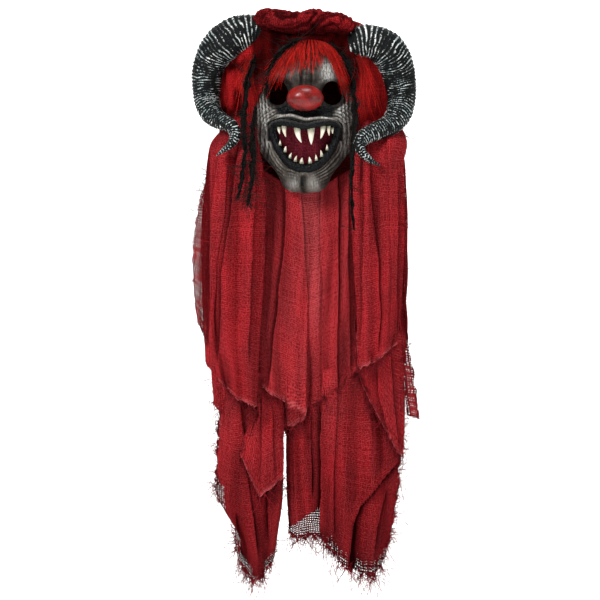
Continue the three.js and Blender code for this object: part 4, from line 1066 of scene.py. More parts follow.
def face_detail(x, z, edge, eye):
    """Wrinkles and moulded lines on the face, in millimetres outward."""
    wide = np.abs(x)
    # folds that run round the mouth from the nose to the chin
    sides = smooth(wide / 30) * smooth((-z - 138) / 22) * smooth((292 + z) / 40)
    wander = 6.0 * noise(x * 0.025, z * 0.02, 3) + 1.6 * noise(x * 0.09, z * 0.06, 4)
    fibre = np.abs(np.sin(np.pi * (edge + wander) / 5.2)) ** 0.6
    uneven = 0.8 + 0.6 * noise(x * 0.06, z * 0.04, 5)
    shape = 2.8 * (fibre - 0.75) * sides * smooth((edge - 12) / 4) * uneven
    # bags and crow's feet round the eye holes
    below = smooth((EYE_HEIGHT + 8 - z) / 14) * smooth((wide - 16) / 10)
    for ring, deep in EYE_BAGS:
        shape = shape - deep * bell((eye - ring - 0.12 * noise(x * 0.06, z * 0.06, 7)) / 0.09) * below
    # creases that run down the outer cheeks
    outer = smooth((wide - 50) / 18) * smooth((-z - 120) / 20)
    down = wide + 5 * noise(x * 0.03, z * 0.015, 8)
    shape = shape + 1.2 * np.sin(down * 0.95 + 1.5 * noise(x * 0.05, z * 0.03, 9)) * outer
    # rows of creases over the forehead, and two between the brows
    fore = smooth((z + 112) / 16) * smooth((-z - 26) / 16)
    shape = shape + 0.35 * np.sin(z * 0.45 + 2.5 * noise(x * 0.03, z * 0.01, 10)) * fore
    frown = bell((np.abs(x - 2) - 8) / 3) * bell((z + 100) / 16)
    shape = shape - 2.4 * frown
    # the ridge over the upper lip and the grooves beside it
    over = z - ridge_level(x)
    span = smooth((60 - wide) / 10)
    shape = shape + 1.3 * bell(over / 1.6) * span
    shape = shape - 2.2 * bell((over - 9) / 5) * smooth((44 - wide) / 10)
    shape = shape - 2.4 * bell((over + 6) / 3) * span
    # the lobes of the chin
    shape = shape + 3.0 * chin_lobes(x) * bell((z + 280) / 12)
    shape = shape - 4.0 * bell((x + 3) / 5) * smooth((-z - 262) / 10)
    # fine unevenness of the cast
    shape = shape + 0.7 * rough_noise(x * 0.14, z * 0.06, 13)
    return shape + 0.35 * rough_noise(x * 0.5, z * 0.2, 17)


def spread(values, times):
    """A grid of values, evened out with its neighbours. Columns close on themselves."""
    for _ in range(times):
        values = (values + np.roll(values, 1, 1) + np.roll(values, -1, 1)) / 3
        values = np.vstack([values[:1], (values[:-2] + values[1:-1] + values[2:]) / 3, values[-1:]])
    return values


def face():
    """The latex shell with its holes, its wrinkles, its paint and the edge of its wall."""
    even = np.arange(FACE_COLUMNS) / FACE_COLUMNS * 2 * np.pi
    turn = even - 0.55 * np.sin(even)
    up = np.linspace(*FACE_ENDS, FACE_ROWS)
    points = head_point(turn[None, :], up[:, None])
    x, y, z = np.moveaxis(points, -1, 0)
    ahead = np.broadcast_to(np.cos(turn), x.shape)
    front = ahead > 0
    edge = np.where(front, to_mouth(x, z), 200.0)
    eye = np.where(front, to_eye(x, z), 9.0)
    around = np.roll(points, -1, 1) - np.roll(points, 1, 1)
    out = unit(np.cross(around, np.gradient(points, axis=0)))
    detail = face_detail(x, z, edge, eye) * smooth(ahead * 3) * smooth((eye - 1) / 0.2)
    points = points + out * detail[..., None]
    sunk = detail - spread(detail, 10)
    flat = points.reshape(-1, 3)
    faces = grid_faces(FACE_ROWS, FACE_COLUMNS, closed=True)
    middle = flat[faces].mean(1)
    in_front = front.ravel()
    cut = in_front[faces].all(1) & in_holes(middle[:, 0], middle[:, 2])
    cut |= in_open_back(middle[:, 1], middle[:, 2])
    faces = faces[~cut]
    # vertices on an eye hole's edge move onto its outline
    used = np.zeros(len(flat), int)
    np.add.at(used, faces.ravel(), 1)
    rim = (used > 0) & (used < 4)
    near_eye = rim & (np.abs(to_eye(flat[:, 0], flat[:, 2]) - 1) < 0.15) & in_front
    share = to_eye(flat[near_eye, 0], flat[near_eye, 2])
    side = np.sign(flat[near_eye, 0]) * EYE_APART
    flat[near_eye, 0] = side + (flat[near_eye, 0] - side) / share
    flat[near_eye, 2] = EYE_HEIGHT + (flat[near_eye, 2] - EYE_HEIGHT) / share
    flat[near_eye, 1] = face_y(flat[near_eye, 0], flat[near_eye, 2])
    chin, crown = len(flat), len(flat) + 1
    flat = np.vstack([flat, [0, -0.75 * FACE_REACH, -0.99 * FACE_LENGTH], [0, 0, 0.01 * FACE_LENGTH]])
    fans = []
    last = (FACE_ROWS - 1) * FACE_COLUMNS
    for j in range(FACE_COLUMNS):
        k = (j + 1) % FACE_COLUMNS
        fans.append([chin, k, j])
        fans.append([crown, last + j, last + k])
    # the two vertices that close the chin and the crown lie far from the mouth and the eyes
    x, z, edge, eye = (np.append(a.ravel(), [0, 0]) for a in (x, z, edge, eye))
    edge[-2:], eye[-2:] = 60, 9
    marks = face_paint(x, z, edge, eye)
    patch = bell((x - 39) / 14) * bell((z + 88) / 24)
    marks["cavity"] = np.append(smooth(-sunk / 0.9), [0, 0]) * (1 - patch)
    marks["ridge"] = np.append(smooth(sunk / 0.8), [0, 0])
    rims, thick = rim_strips(flat, faces, np.vstack([out.reshape(-1, 3), [0, 0, -1], [0, 0, 1]]))
    flat = np.vstack([flat, thick])
    marks = {key: np.concatenate([value, np.full(len(thick), 0.02)]) for key, value in marks.items()}
    marks["black"][-len(thick):] = 1.0
    build("face", flat, faces.tolist() + fans + rims, LATEX_FACE, marks=marks,
          replaces=["face_shell"])


def rim_strips(points, faces, out):
    """The wall's edge: strips that run in from every open edge by the latex's thickness."""
    edges = np.stack([faces, np.roll(faces, -1, 1)], -1).reshape(-1, 2)
    order = np.sort(edges, axis=1)
    _, where, count = np.unique(order, axis=0, return_index=True, return_counts=True)
    lone = edges[where[count == 1]]
    level = points[lone].reshape(-1, 6)
    # the rings that the fans close aren't open edges
    lowest, highest = (np.abs(level[:, 2] / FACE_LENGTH - up) < 1e-3 for up in FACE_ENDS)
    lone = lone[~lowest & ~highest]
    names = np.unique(lone)
    number = {old: len(points) + i for i, old in enumerate(names)}
    thick = points[names] - out[names] * LATEX
    return [[b, a, number[a], number[b]] for a, b in lone.tolist()], thick


def face_paint(x, z, edge, eye):
    """Where the face is black, white and darkened, each from 0 to 1. The darkening is partly dark wash and
    partly painted shade.
    """
    wander = 2.5 * noise(x * 0.09, z * 0.09, 21)
    wide = np.abs(x)
    over = z - ridge_level(x)
    patch = bell((x - 39) / 12) * bell((z + 90) / 22)
    # black paint round the mouth, on the upper lip and over the ridge
    mouth = smooth((14 + wander - edge) / 4) * smooth((MOUTH_TOP - 4 - z) / 8)
    lip = smooth((-over - 2.0) / 1.6) * smooth((z - MOUTH_TOP + 22) / 3)
    lip = lip * smooth((66 - wide) / 5) * smooth((26 - edge) / 4)
    above = smooth((over - 1.8) / 1.6) * smooth((-146 + wander - z) / 5) * smooth((53 - wide) / 8)
    black = np.maximum.reduce([mouth, lip, above])
    # darkening in and round the eyes and over the crown, partly dark wash and partly painted shade; down the
    # sides and under the cheeks it is painted shade
    jaw = mix(58, 26, smooth((-z - 215) / 75))
    wash_and_shade = np.maximum.reduce([
        smooth((1.62 + 0.25 * noise(x * 0.08, z * 0.08, 23) - eye) / 0.45),
        0.9 * bell((wide - 27) / 9) * bell((z + 128) / 14),
        bell((x + 3) / 5) * smooth((-z - 262) / 8),
        0.85 * smooth((wide - 76 + 4 * noise(z * 0.05, 1.0, 25)) / 9),
        0.85 * bell((x - 2) / 15) * bell((z + 104) / 20),
        0.5 * smooth((z + 118) / 16),
        0.93 * smooth((z + 84) / 16),
        0.86 * smooth((-z - 215) / 20) * smooth((wide - jaw) / 9),
    ])
    wash_and_shade = wash_and_shade * (1 - 0.9 * patch)
    # white paint on the brow, the ridge, the cheeks and the chin
    brow = 1.6 * bell((x - 39) / 11) * smooth((z + 114) / 8) * smooth((-z - 64) / 8)
    ridge = bell(over / 1.1) * smooth((52 - wide) / 10) * (0.6 + 0.8 * noise(x / 4, 0.5, 27))
    cheek = 0.55 * bell((wide - 66) / 9) * smooth((-z - 165) / 10) * smooth((z + 240) / 30)
    chin = 0.26 * chin_lobes(x) * bell((z + 280) / 13)
    white = np.maximum.reduce([brow, ridge, cheek, chin])
    for across, level, broad, tall, strong in zip(*WHITE_PATCHES.values()):
        white = np.maximum(white, strong * bell((x - across) / broad) * bell((z - level) / tall))
    white = np.minimum(white, 1) * (1 - wash_and_shade) * (1 - black)
    return {"black": black, "white": white, "wash_and_shade": wash_and_shade}


def face_inside():
    """The inner wall of the latex, seen through the holes and from below."""
    rows, columns = 70, 90
    turn = np.arange(columns) / columns * 2 * np.pi
    up = np.linspace(-0.95, -0.01, rows)
    points = head_point(turn[None, :], up[:, None], -LATEX)
    points[..., 1] += LATEX * 0.4 * (np.cos(turn)[None, :] > 0)
    flat = points.reshape(-1, 3)
    faces = grid_faces(rows, columns, closed=True, flip=True)
    middle = flat[faces].mean(1)
    ahead = middle[:, 1] < 0
    cut = ahead & in_holes(middle[:, 0], middle[:, 2], 1.1)
    cut |= in_open_back(middle[:, 1], middle[:, 2])
    # painted near black and dark all over: painted shade for the unlit inside of the head
    marks = {"black": 0.85, "white": 0.0, "wash_and_shade": 1.0, "cavity": 0.0, "ridge": 0.0}
    build("face_inside", flat, faces[~cut], LATEX_FACE, marks=marks)


def lips():
    """The rolled rim of the mouth."""
    count, sides = 300, 20
    line = mouth_line(count, LIP_THICK * LIP_SET)
    along = np.roll(line, -1, 0) - np.roll(line, 1, 0)
    along /= np.linalg.norm(along, axis=1, keepdims=True)
    outward = np.column_stack([along[:, 1], -along[:, 0]])
    centre = np.array([0, MOUTH_TOP - MOUTH_DROP / 2])
    outward = outward * np.sign(((line - centre) * outward).sum(1, keepdims=True))
    low = np.clip((MOUTH_TOP - line[:, 1]) / MOUTH_DROP, 0, 1)
    radius = LIP_THICK * mix(0.72, 1, low)
    angle = np.arange(sides) / sides * 2 * np.pi
    turn = np.arange(count) / count * 2 * np.pi
    uneven = 1 + 0.1 * noise(np.cos(turn)[:, None] * 9 + 20, np.sin(turn)[:, None] * 9, 5)
    crease = 0.05 * np.sin(np.arange(count)[:, None] * 1.3 + 3 * noise(turn[:, None] * 8, angle[None, :], 4))
    reach = radius[:, None] * (uneven + crease)
    y = face_y(line[:, 0], line[:, 1]) + LATEX / 2
    x = line[:, None, 0] + outward[:, None, 0] * np.cos(angle) * reach
    z = line[:, None, 1] + outward[:, None, 1] * np.cos(angle) * reach
    points = stack(x, y[:, None] - np.sin(angle) * reach, z)
    faces = grid_faces(count, sides, closed=True)
    last = (count - 1) * sides
    j = np.arange(sides)
    close = np.stack([last + j, last + (j + 1) % sides, (j + 1) % sides, j], -1)
    top = (smooth((z - MOUTH_TOP) / 3) * smooth((np.cos(angle) - 0.2) / 0.5) * 0.5).ravel()
    marks = {"black": 1 - 0.4 * top, "white": 0.6 * top, "wash_and_shade": 0.0, "cavity": 0.0, "ridge": 0.0}
    build("lips", points, np.vstack([faces, close])[:, ::-1], LATEX_FACE, marks=marks)


def mouth_lining():
    """Gauze behind the teeth, a little larger all round than the mouth."""
    spare = 11
    rows, columns = 50, 60
    u, v = np.meshgrid(np.linspace(0, 1, columns), np.linspace(0, 1, rows))
    z = MOUTH_TOP + spare - v * (MOUTH_DROP + 2 * spare)
    x = (2 * u - 1) * (MOUTH_HALF_WIDTH + spare) * np.sqrt(1.05 - 0.75 * v**2)
    fold = 1.6 * np.sin(x * 0.2 + 2 * noise(x * 0.04, z * 0.04, 31)) + 0.8 * rough_noise(x * 0.1, z * 0.1, 33)
    points = stack(x, face_y(x, z) + LATEX / 2 + LIP_THICK + 2.8 + fold, z)
    shade = smooth((0.9 * np.abs(2 * u - 1) - 0.2) / 0.8) * 0.7
    marks = {"open": 0.0, "pale": 0.0, "shade": shade.ravel()}
    piece = build("lining", points, grid_faces(rows, columns, flip=True), MAROON, uv=np.dstack([x, z]),
                  marks=marks, replaces=["mouth_lining"])


def nose():
    """The ball nose, a little lumpy."""
    rows, columns = 60, 90
    pole = 0.02
    turn, tilt = np.meshgrid(
        np.arange(columns) / columns * 2 * np.pi,
        np.linspace(pole, np.pi - pole, rows),
    )
    x = NOSE_HALF_WIDTH * np.sin(tilt) * np.sin(turn)
    y = -NOSE_HALF_DEEP * np.sin(tilt) * np.cos(turn)
    z = NOSE_HALF_TALL * np.cos(tilt)
    lumps = 0.35 * rough_noise(x * 0.12 + 5, z * 0.12 + y * 0.05, 41)
    points = stack(x, y, z) * (1 + lumps / 28)[..., None]
    points += [0, float(face_y(0.0, NOSE_HEIGHT)) - NOSE_HALF_DEEP * 0.55, NOSE_HEIGHT]
    # mottled darker patches, and painted shade on the ball's underside
    mottle_and_shade = smooth((rough_noise(x * 0.09, z * 0.16, 43) - 0.15) / 0.5) * 0.4
    mottle_and_shade = mottle_and_shade + smooth((-z - 13) / 8) * 0.5
    build("nose", points, grid_faces(rows, columns, closed=True, flip=True), NOSE_RED,
          marks={"mottle_and_shade": mottle_and_shade.ravel()}, replaces=["nose_ball"])


def mouth_edge(x, above):
    """The level of the mouth's upper or lower edge at a place across it."""
    line = mouth_line(96)
    drop = (MOUTH_TOP - line[:, 1]) / MOUTH_DROP
    line = line[drop < 0.16] if above else line[drop > 0.04]
    return line[np.argmin(np.abs(line[:, 0] - x)), 1]


TOOTH_SIDES = 14


def teeth():
    for above, rows in ((True, UPPER_TEETH), (False, LOWER_TEETH)):
        for number, (across, long, root, lean) in enumerate(zip(*rows.values()), 1):
            name = f"{'upper' if above else 'lower'}_tooth_{number}"
            x, radius = across * MOUTH_HALF_WIDTH, root * TOOTH_THICK
            way = -1 if above else 1
            slant = 0 if above else 0.5 * radius * abs(across)
            edge = mouth_edge(x, above) + way * (LIP_THICK * (1 - LIP_SET) - 0.2 + slant)
            length = long * MOUTH_DROP
            y = float(face_y(x, edge)) + LATEX * 0.3
            t = np.linspace(-0.12, 1, 22)
            centre = stack(
                x + lean * length * t * np.abs(t),
                y + length * 0.06 * np.sin(t * 3),
                edge + way * length * t,
            )
            radii = radius * np.maximum(0.02, 1 - np.clip(t, 0, 1)) ** 0.62
            points, faces = tube(centre, radii, TOOTH_SIDES, flat=0.75)
            share = np.append(np.repeat(t, TOOTH_SIDES), [0, 1])
            build(name + "_shaped", points, faces, TOOTH_IVORY, marks={"root": smooth((0.42 - share) / 0.4)},
                  replaces=[name])


# Horns

def horn(name, rows):
    """A ribbed horn with paint dragged over its ribs."""
    points = stack(rows["across"] * HORN_SPAN, -rows["forward"] * HORN_FORWARD, rows["up"] * HORN_DROP)
    stations, sides = 1000, 40
    t = np.linspace(0, 1, stations)
    line = smooth_line(points, t)
    place = t * (len(points) - 1)
    radii = np.interp(place, np.arange(len(points)), rows["girth"] * HORN_GIRTH)
    run = np.append(0, np.cumsum(np.linalg.norm(np.diff(line, axis=0), axis=1)))
    angle = np.arange(sides) / sides * 2 * np.pi
    s, a = run[:, None], angle[None, :]
    pitch = mix(6.2, 4.6, t)
    count = np.cumsum(np.append(0, np.diff(run) / pitch[1:]))[:, None]
    # ribs wander round the horn, branch and break
    wander = 0.42 * noise(np.cos(a) * 1.5 + s * 0.02, np.sin(a) * 1.5 + 9, 51)
    wander = wander + 0.24 * noise(np.cos(a) * 3 + 4, s * 0.14 + np.sin(a) * 2, 52)
    wave = np.sin(2 * np.pi * (count + wander))
    number = np.floor(count)
    breaks = smooth((noise(a * 4.5 + number * 3.7, number * 1.9, 53) + 0.55) / 0.5)
    each = 0.82 + 0.26 * lattice(number.astype(int), 3, 57)
    rib = smooth((wave + 0.15) / 1.05) * mix(0.5, 1, breaks) * each
    groove = bell((np.cos(a + 0.6) - 0.15) / 0.1) * (np.sin(a + 0.6) > 0)
    ripple = rib * 0.072 - 0.05 - 0.05 * np.cos(2 * a) - 0.07 * groove
    ripple = ripple + 0.02 * rough_noise(a * 3, s * 0.05, 54)
    vertices, faces = tube(line, radii, sides, swell=1 + ripple)
    paint = smooth((noise(np.cos(a) * 3 + s * 0.06, np.sin(a) * 3, 55) + 0.55) / 0.5) * (1 - 0.8 * groove)
    paint = paint * np.where(t[:, None] > 0.96, 0.7, 1) * smooth(s / 30 + 0.35)
    # where the silver paint takes a teal tint, as a painted cool highlight
    teal_highlight = smooth((noise(np.cos(a) * 2, np.sin(a) * 2 + s * 0.02, 56) + 0.1) / 0.6)
    given = {"rib": rib, "paint": paint, "teal_highlight": teal_highlight * 0.3}
    marks = {key: np.append(value.ravel(), [0, 0]) for key, value in given.items()}
    build(name + "_ribbed", vertices, faces, HORN_BLACK, marks=marks, replaces=[name])


# Cloth

# Where one layer laps over the next: the panel, the side that lies on top (1 the left, -1 the right),
# how high its edge stands, how far it takes to fall away and the edge's line as (level, across)
LAPS = [
    ("drape_left", -1, 8, 30, [
        (-200, -112), (-272, -120), (-337, -125), (-428, -141), (-507, -143), (-600, -147),
    ]),
    ("drape_left", 1, 4, 12, [(-250, -131), (-336, -136), (-420, -149), (-560, -153)]),
    ("drape_left", -1, 3, 16, [(-230, -148), (-336, -158), (-440, -163), (-560, -163)]),
    ("drape_left", 1, 5, 26, [(-190, -88), (-300, -84), (-400, -88), (-600, -96)]),
    ("drape_centre", -1, 9, 34, [
        (-255, -36), (-292, -34), (-363, -33), (-439, -42), (-585, -58), (-640, -66),
    ]),
    ("drape_centre", 1, 3.5, 18, [(-255, -9), (-340, -3), (-476, 5), (-560, 4), (-700, 3)]),
    ("drape_centre", -1, 4, 14, [(-255, 25), (-400, 27), (-530, 29), (-660, 29)]),
    ("drape_centre", 1, 8, 26, [(-255, 57), (-400, 57), (-532, 56), (-660, 58)]),
    ("drape_centre", 1, 5, 12, [(-255, 76), (-400, 74), (-532, 76), (-620, 80)]),
    ("drape_right", 1, 7, 22, [(-190, 108), (-297, 112), (-428, 125), (-522, 127), (-580, 124)]),
    ("drape_right", -1, 5, 18, [(-230, 96), (-330, 100), (-430, 96), (-560, 94)]),
    ("drape_right", 1, 5, 14, [(-260, 158), (-400, 157), (-560, 154)]),
    ("drape_right", -1, 3, 12, [(-200, 138), (-320, 142), (-440, 146), (-570, 140)]),
    ("tail_right", -1, 11, 34, [(-590, 29), (-697, 27), (-813, 25), (-880, 21)]),
    ("tail_right", 1, 4, 24, [(-600, 57), (-714, 52), (-816, 49), (-900, 52)]),
    ("tail_right", -1, 4, 12, [(-640, -19), (-740, -20), (-830, -19)]),
    ("tail_right", -1, 7, 12, [(-585, 88), (-650, 118), (-700, 142), (-745, 163)]),
    ("tail_left", -1, 6, 12, [(-590, -88), (-640, -84), (-670, -78), (-700, -92), (-740, -112)]),
    ("tail_right", 1, 7, 14, [(-660, 10), (-740, 11), (-830, 14)]),
    ("tail_right", 1, 9, 26, [
        (-735, 172), (-765, 150), (-800, 120), (-828, 96), (-858, 84), (-918, 76), (-950, 74),
    ]),
    ("tail_right", 1, 5, 20, [(-800, 138), (-860, 124), (-930, 116)]),
    ("tail_left", 1, 6, 22, [(-640, -110), (-760, -98), (-840, -88), (-930, -78)]),
    ("tail_left", -1, 6, 20, [(-700, -72), (-800, -66), (-900, -62)]),
    ("tail_left", -1, 5, 14, [(-640, -146), (-740, -150), (-830, -144)]),
    ("tail_left", 1, 5, 16, [(-840, -118), (-900, -112), (-955, -98)]),
    ("tier_left", -1, 5, 20, [(-600, -72), (-700, -74), (-800, -76)]),
    ("tier_left", 1, 4, 18, [(-640, -58), (-740, -52), (-800, -50)]),
    ("tier_right", -1, 5, 20, [(-560, 118), (-640, 124), (-740, 150)]),
    ("tier_right", 1, 6, 20, [(-560, 146), (-660, 152), (-750, 162)]),
]


def laps(name, x, z):
    """How far a panel stands forward at its laps, and how dark it is under them."""
    lift, dark = np.zeros(x.shape), np.zeros(x.shape)
    for index, (panel, side, high, fall, line) in enumerate(LAPS):
        if panel != name:
            continue
        level, across = np.array(line, float).T
        middle = np.interp(-z, -level, across) + 1.6 * noise(z / 45, index * 3.7, 88)
        into = (middle - x) * side
        span = smooth((level[0] + 4 - z) / 14) * smooth((z - level[-1]) / 40)
        lift = lift + high * span * smooth((into + 1.4) / 2.6) * (1 - smooth(into / fall))
        under = np.where(into < 0.4, np.exp(np.minimum(into - 0.4, 0) / (1.6 + 0.5 * high)), 0)
        dark = np.maximum(dark, under * span * min(0.88, 0.32 + 0.06 * high))
    return lift, dark


# Lines of points along the hems of the layers made so far, for the shadow under them
HEMS = []


def under_hems(x, z):
    """How dark a cloth is below the hems of the layers that hang over it."""
    dark = 0 * x
    for line in HEMS:
        order = np.argsort(line[:, 0])
        level = np.interp(x, line[order, 0], line[order, 2], left=1e4, right=1e4)
        dark = np.maximum(dark, 0.68 * np.exp(-np.abs(level - z) / 10))
    return dark


def folds(u, v, wide, seed, depth=1.0):
    """Soft falling folds across a cloth of a given width, in millimetres."""
    total = np.zeros(np.broadcast(u, v).shape)
    for wave, high, sway in ((52, 2.6, 0.7), (25, 0.9, 0.6)):
        phase = u * wide / wave + sway * noise(u * wide / wave * 0.6, v * 2.2, seed + wave)
        strength = 0.55 + 0.45 * noise(u * wide / wave, v * 3, seed + wave + 1)
        total = total + high * np.sin(2 * np.pi * phase) * strength
    total = total + 0.9 * rough_noise(u * wide / 34, v * 9, seed + 5)
    return total * depth


def place_on(panel, u, v):
    """The plain shape of a panel: u runs from its left to its right, v from its top to its hem."""
    top = column(panel["top"], u, "at")
    hem = np.interp(u, panel["hem"]["u"], panel["hem"]["at"])
    row = {name: column(panel["rows"], v, name) for name in ("left", "right", "ahead")}
    bow = panel["bow"] * (1 - (2 * u - 1) ** 2)
    fold = panel["fold"] * SHROUD_PLEAT * smooth(v * 3 + 0.3)
    wave = np.sin(2 * np.pi * (panel["folds"] * u + panel["drift"] * v))
    return stack(
        mix(row["left"], row["right"], u) * SHROUD_HALF_WIDTH,
        -(row["ahead"] + bow) * DRAPE_FRONT + fold * wave,
        -mix(top, hem, v) * SHROUD_LENGTH,
    )


THREAD_RADIUS = 0.52
THREAD_POINTS = 7
THREAD_FALL = 0.35
THREAD_CURL = 0.9

# Threads that reach further to the left or down than this are drawn in, by this room at most
THREADS_LEFT = 200
THREADS_DOWN = 988
THREAD_ROOM = 14


def held_in(values, start, room):
    """Draws in what lies past start, so that nothing is further than room past it."""
    return np.minimum(values, start) + room * np.tanh(np.maximum(values - start, 0) / room)


def threads(name, starts, directions, lengths, material, seed):
    """Loose threads: each leaves its start in a direction, then falls and curls."""
    rng = np.random.default_rng(seed)
    count = len(starts)
    t = np.linspace(0, 1, THREAD_POINTS)[None, :, None]
    wander = rng.normal(0, 1, (count, 1, 3)) * THREAD_CURL
    twist = rng.normal(0, 1, (count, 1, 3)) * THREAD_CURL
    path = directions[:, None, :] * t + wander * t**2 + twist * np.sin(t * 5) * 0.25 * t
    path = path + np.array([0, 0, -1.0]) * THREAD_FALL * t**1.5
    curves = starts[:, None, :] + path * lengths[:, None, None]
    curves[..., 0] = -held_in(-curves[..., 0], THREADS_LEFT, THREAD_ROOM)
    curves[..., 2] = -held_in(-curves[..., 2], THREADS_DOWN, THREAD_ROOM)
    radii = THREAD_RADIUS * (1 - 0.5 * t[..., 0]) * rng.uniform(0.7, 1.3, (count, 1))
    vertices, faces = bundle(curves, radii)
    tint = np.repeat(rng.uniform(0, 1, count) ** 1.6, THREAD_POINTS * BUNDLE_SIDES)
    return build(name, vertices, faces, material, marks={"tint": tint})


def fringe(name, points, fray, count, seed, material, long=1.0):
    """Frayed threads in tufts along the edges of a cloth: its left side, right side and hem."""
    rng = np.random.default_rng(seed + 100)
    left, right, hem = fray
    sides = [
        (points[-1], points[-1] - points[-4], hem),
        (points[:, 0], points[:, 0] - points[:, 2], left),
        (points[:, -1], points[:, -1] - points[:, -3], right),
    ]
    runs = np.array([run_length(line) * weight for line, _, weight in sides])
    starts, ways, lengths = [], [], []
    for (line, way, _), part in zip(sides, runs / runs.sum()):
        n = max(3, int(count * part))
        tufts = max(3, n // 3)
        tuft = rng.integers(0, tufts, n)
        last = len(line) - 1.001
        at = np.clip(rng.uniform(0, last, tufts)[tuft] + rng.normal(0, 1.8, n), 0, last)
        i = at.astype(int)
        f = (at - i)[:, None]
        outward = unit(mix(way[i], way[i + 1], f))
        starts.append(mix(line[i], line[i + 1], f) - 4 * outward)
        lean = rng.normal(0, 0.45, (tufts, 3))[tuft] + rng.normal(0, 0.32, (n, 3))
        ways.append(unit(outward + lean))
        lengths.append((rng.gamma(2.2, 3.6, tufts) + 7)[tuft] * rng.uniform(0.5, 1.1, n) * long)
    lengths = np.minimum(np.concatenate(lengths), 28 * long)
    return threads(name + "_threads", np.concatenate(starts), np.concatenate(ways), lengths, material, seed)


# How single panels hang apart from their tables: x, y and z are the panel's own points, moved in place

def hang_drape_centre(x, y, z, u, v):
    """Its right part passes behind the tail, and the tip of its hem is turned under."""
    y += 18 * smooth((x - 2) / 7) * smooth((-z - 500) / 110)
    x -= 9 * (1 - u) ** 3 * smooth((-z - 440) / 90)
    turned = mix(44, 12, (x + 31) / 33) * smooth((x + 34) / 4) * smooth((5 - x) / 5)
    z -= turned * smooth((v - 0.86) / 0.14)


def hang_drape_right(x, y, z, u, v):
    x += 24 * smooth((u - 0.45) / 0.5) * smooth((z + 255) / 80)


def hang_tier_left(x, y, z, u, v):
    x += 12 * bell((z + 668) / 26) * (1 - u) ** 3


def hang_tail_left(x, y, z, u, v):
    """It reaches higher behind the gap between the drapes."""
    z += 120 * smooth((u - 0.25) / 0.3) * (1 - v) ** 4


def hang_tail_right(x, y, z, u, v):
    """Its fold stands in front of the centre drape."""
    y -= 15 * smooth((x - 4) / 9) * smooth((95 - x) / 30) * smooth((z + 800) / 150)
    x -= 8 * (1 - u) ** 3 * smooth((z + 706) / 14)


def hang_plain(x, y, z, u, v):
    pass


# Where a panel is sheer, pale and dark, from its place seen from the front

def mark_drape_centre(x, z, u, v):
    """A pale band down the middle, a raw hem with painted shade on the turned-under cloth below it, and
    painted shade low on its right and in the recess at its left.
    """
    middle = np.interp(-z, [250, 480], [9, 14])
    half = np.interp(-z, [250, 480, 560], [20, 9, 4])
    band = smooth((half + 5 - np.abs(x - middle)) / 9) * smooth((z + 590) / 130)
    hidden_hem = bell((1 - v) * 384 / 5) * smooth((x - 1) / 8)
    raw = -626 - (x + 65) * 0.61
    across = smooth((x + 36) / 4) * smooth((3 - x) / 3)
    # painted shade below the raw hem, on the turned-under cloth
    shade = 0.42 * smooth((raw - z - 1) / 4) * across
    # painted shade towards the hem on its right, and in the recess at its left
    shade = shade + 0.14 * smooth((x - 4) / 10) * smooth((-z - 520) / 110)
    shade = shade + 0.1 * smooth((-34 - x - 0.1 * (z + 300)) / 6)
    pale = 0.1 + 0.4 * band - 1.02 * hidden_hem + 0.9 * bell((z - raw) / 3.5) * across
    return {"pale": pale, "shade": shade}


def mark_drape_left(x, z, u, v):
    sheer = smooth((-157 - x) / 5) * smooth((-z - 200) / 40) * smooth((z + 560) / 40)
    return {"open": 0.95 * sheer, "pale": 0.2 * sheer, "shade": 0.07}


def mark_drape_right(x, z, u, v):
    return {"open": 0.25 * smooth((x - 152) / 5) * smooth((-z - 330) / 40), "shade": 0.1}


def mark_tier_left(x, z, u, v):
    return {"shade": 0.1}


def mark_tier_right(x, z, u, v):
    return {"pale": 0.9 * bell(u * 90 / 4), "shade": 0.1}


def mark_tail(x, z, u, v):
    """Darker below the drapes and towards the hem, which is torn to a net in places."""
    beside = 1 - smooth((x - 4) / 10) * smooth((90 - x) / 10)
    torn = smooth((v - 0.86) / 0.12) * smooth((noise(x / 16, z / 26, 143) + 0.35) / 0.6)
    shade = 0.42 * smooth((-z - 560) / 330) + 0.3 * smooth((z + 720) / 90) * beside
    shade = shade + 0.26 * smooth((v - 0.86) / 0.12)
    return {"open": 1.1 * torn - 0.06, "pale": 0.08 * smooth((z + 760) / 120), "shade": shade}


def mark_tail_left(x, z, u, v):
    marks = mark_tail(x, z, u, v)
    torn_side = smooth((0.2 - u) / 0.07) * smooth((v - 0.56) / 0.05) * smooth((0.92 - v) / 0.05)
    marks["open"] = marks["open"] + 1.1 * torn_side
    return marks


def mark_tail_right(x, z, u, v):
    """A net in the corner beside the slit, and a thin dark fold over the tip."""
    marks = mark_tail(x, z, u, v)
    net = smooth((27 - x) / 3) * smooth((x + 29) / 5) * smooth((-z - 826 - 0.7 * (24 - x)) / 6)
    thin = bell((x - 84) / 9) * smooth((-z - 845) / 20)
    hem = smooth((0.985 - v) / 0.015)
    marks["open"] = marks["open"] * (1 - net) + 1.2 * net * hem + 0.3 * thin
    shade = 0.2 * thin + 0.45 * smooth((-21 - x) / 6) * smooth((-z - 690) / 10)
    shade = shade - 0.2 * smooth((12 - x) / 8) * smooth((x + 20) / 8) * smooth((-z - 700) / 20)
    marks["shade"] = marks["shade"] + shade
    return marks


def mark_strip(x, z, u, v):
    return {"open": 0.82 + 0.22 * noise(x / 8, z / 20, 141), "pale": 0.12}


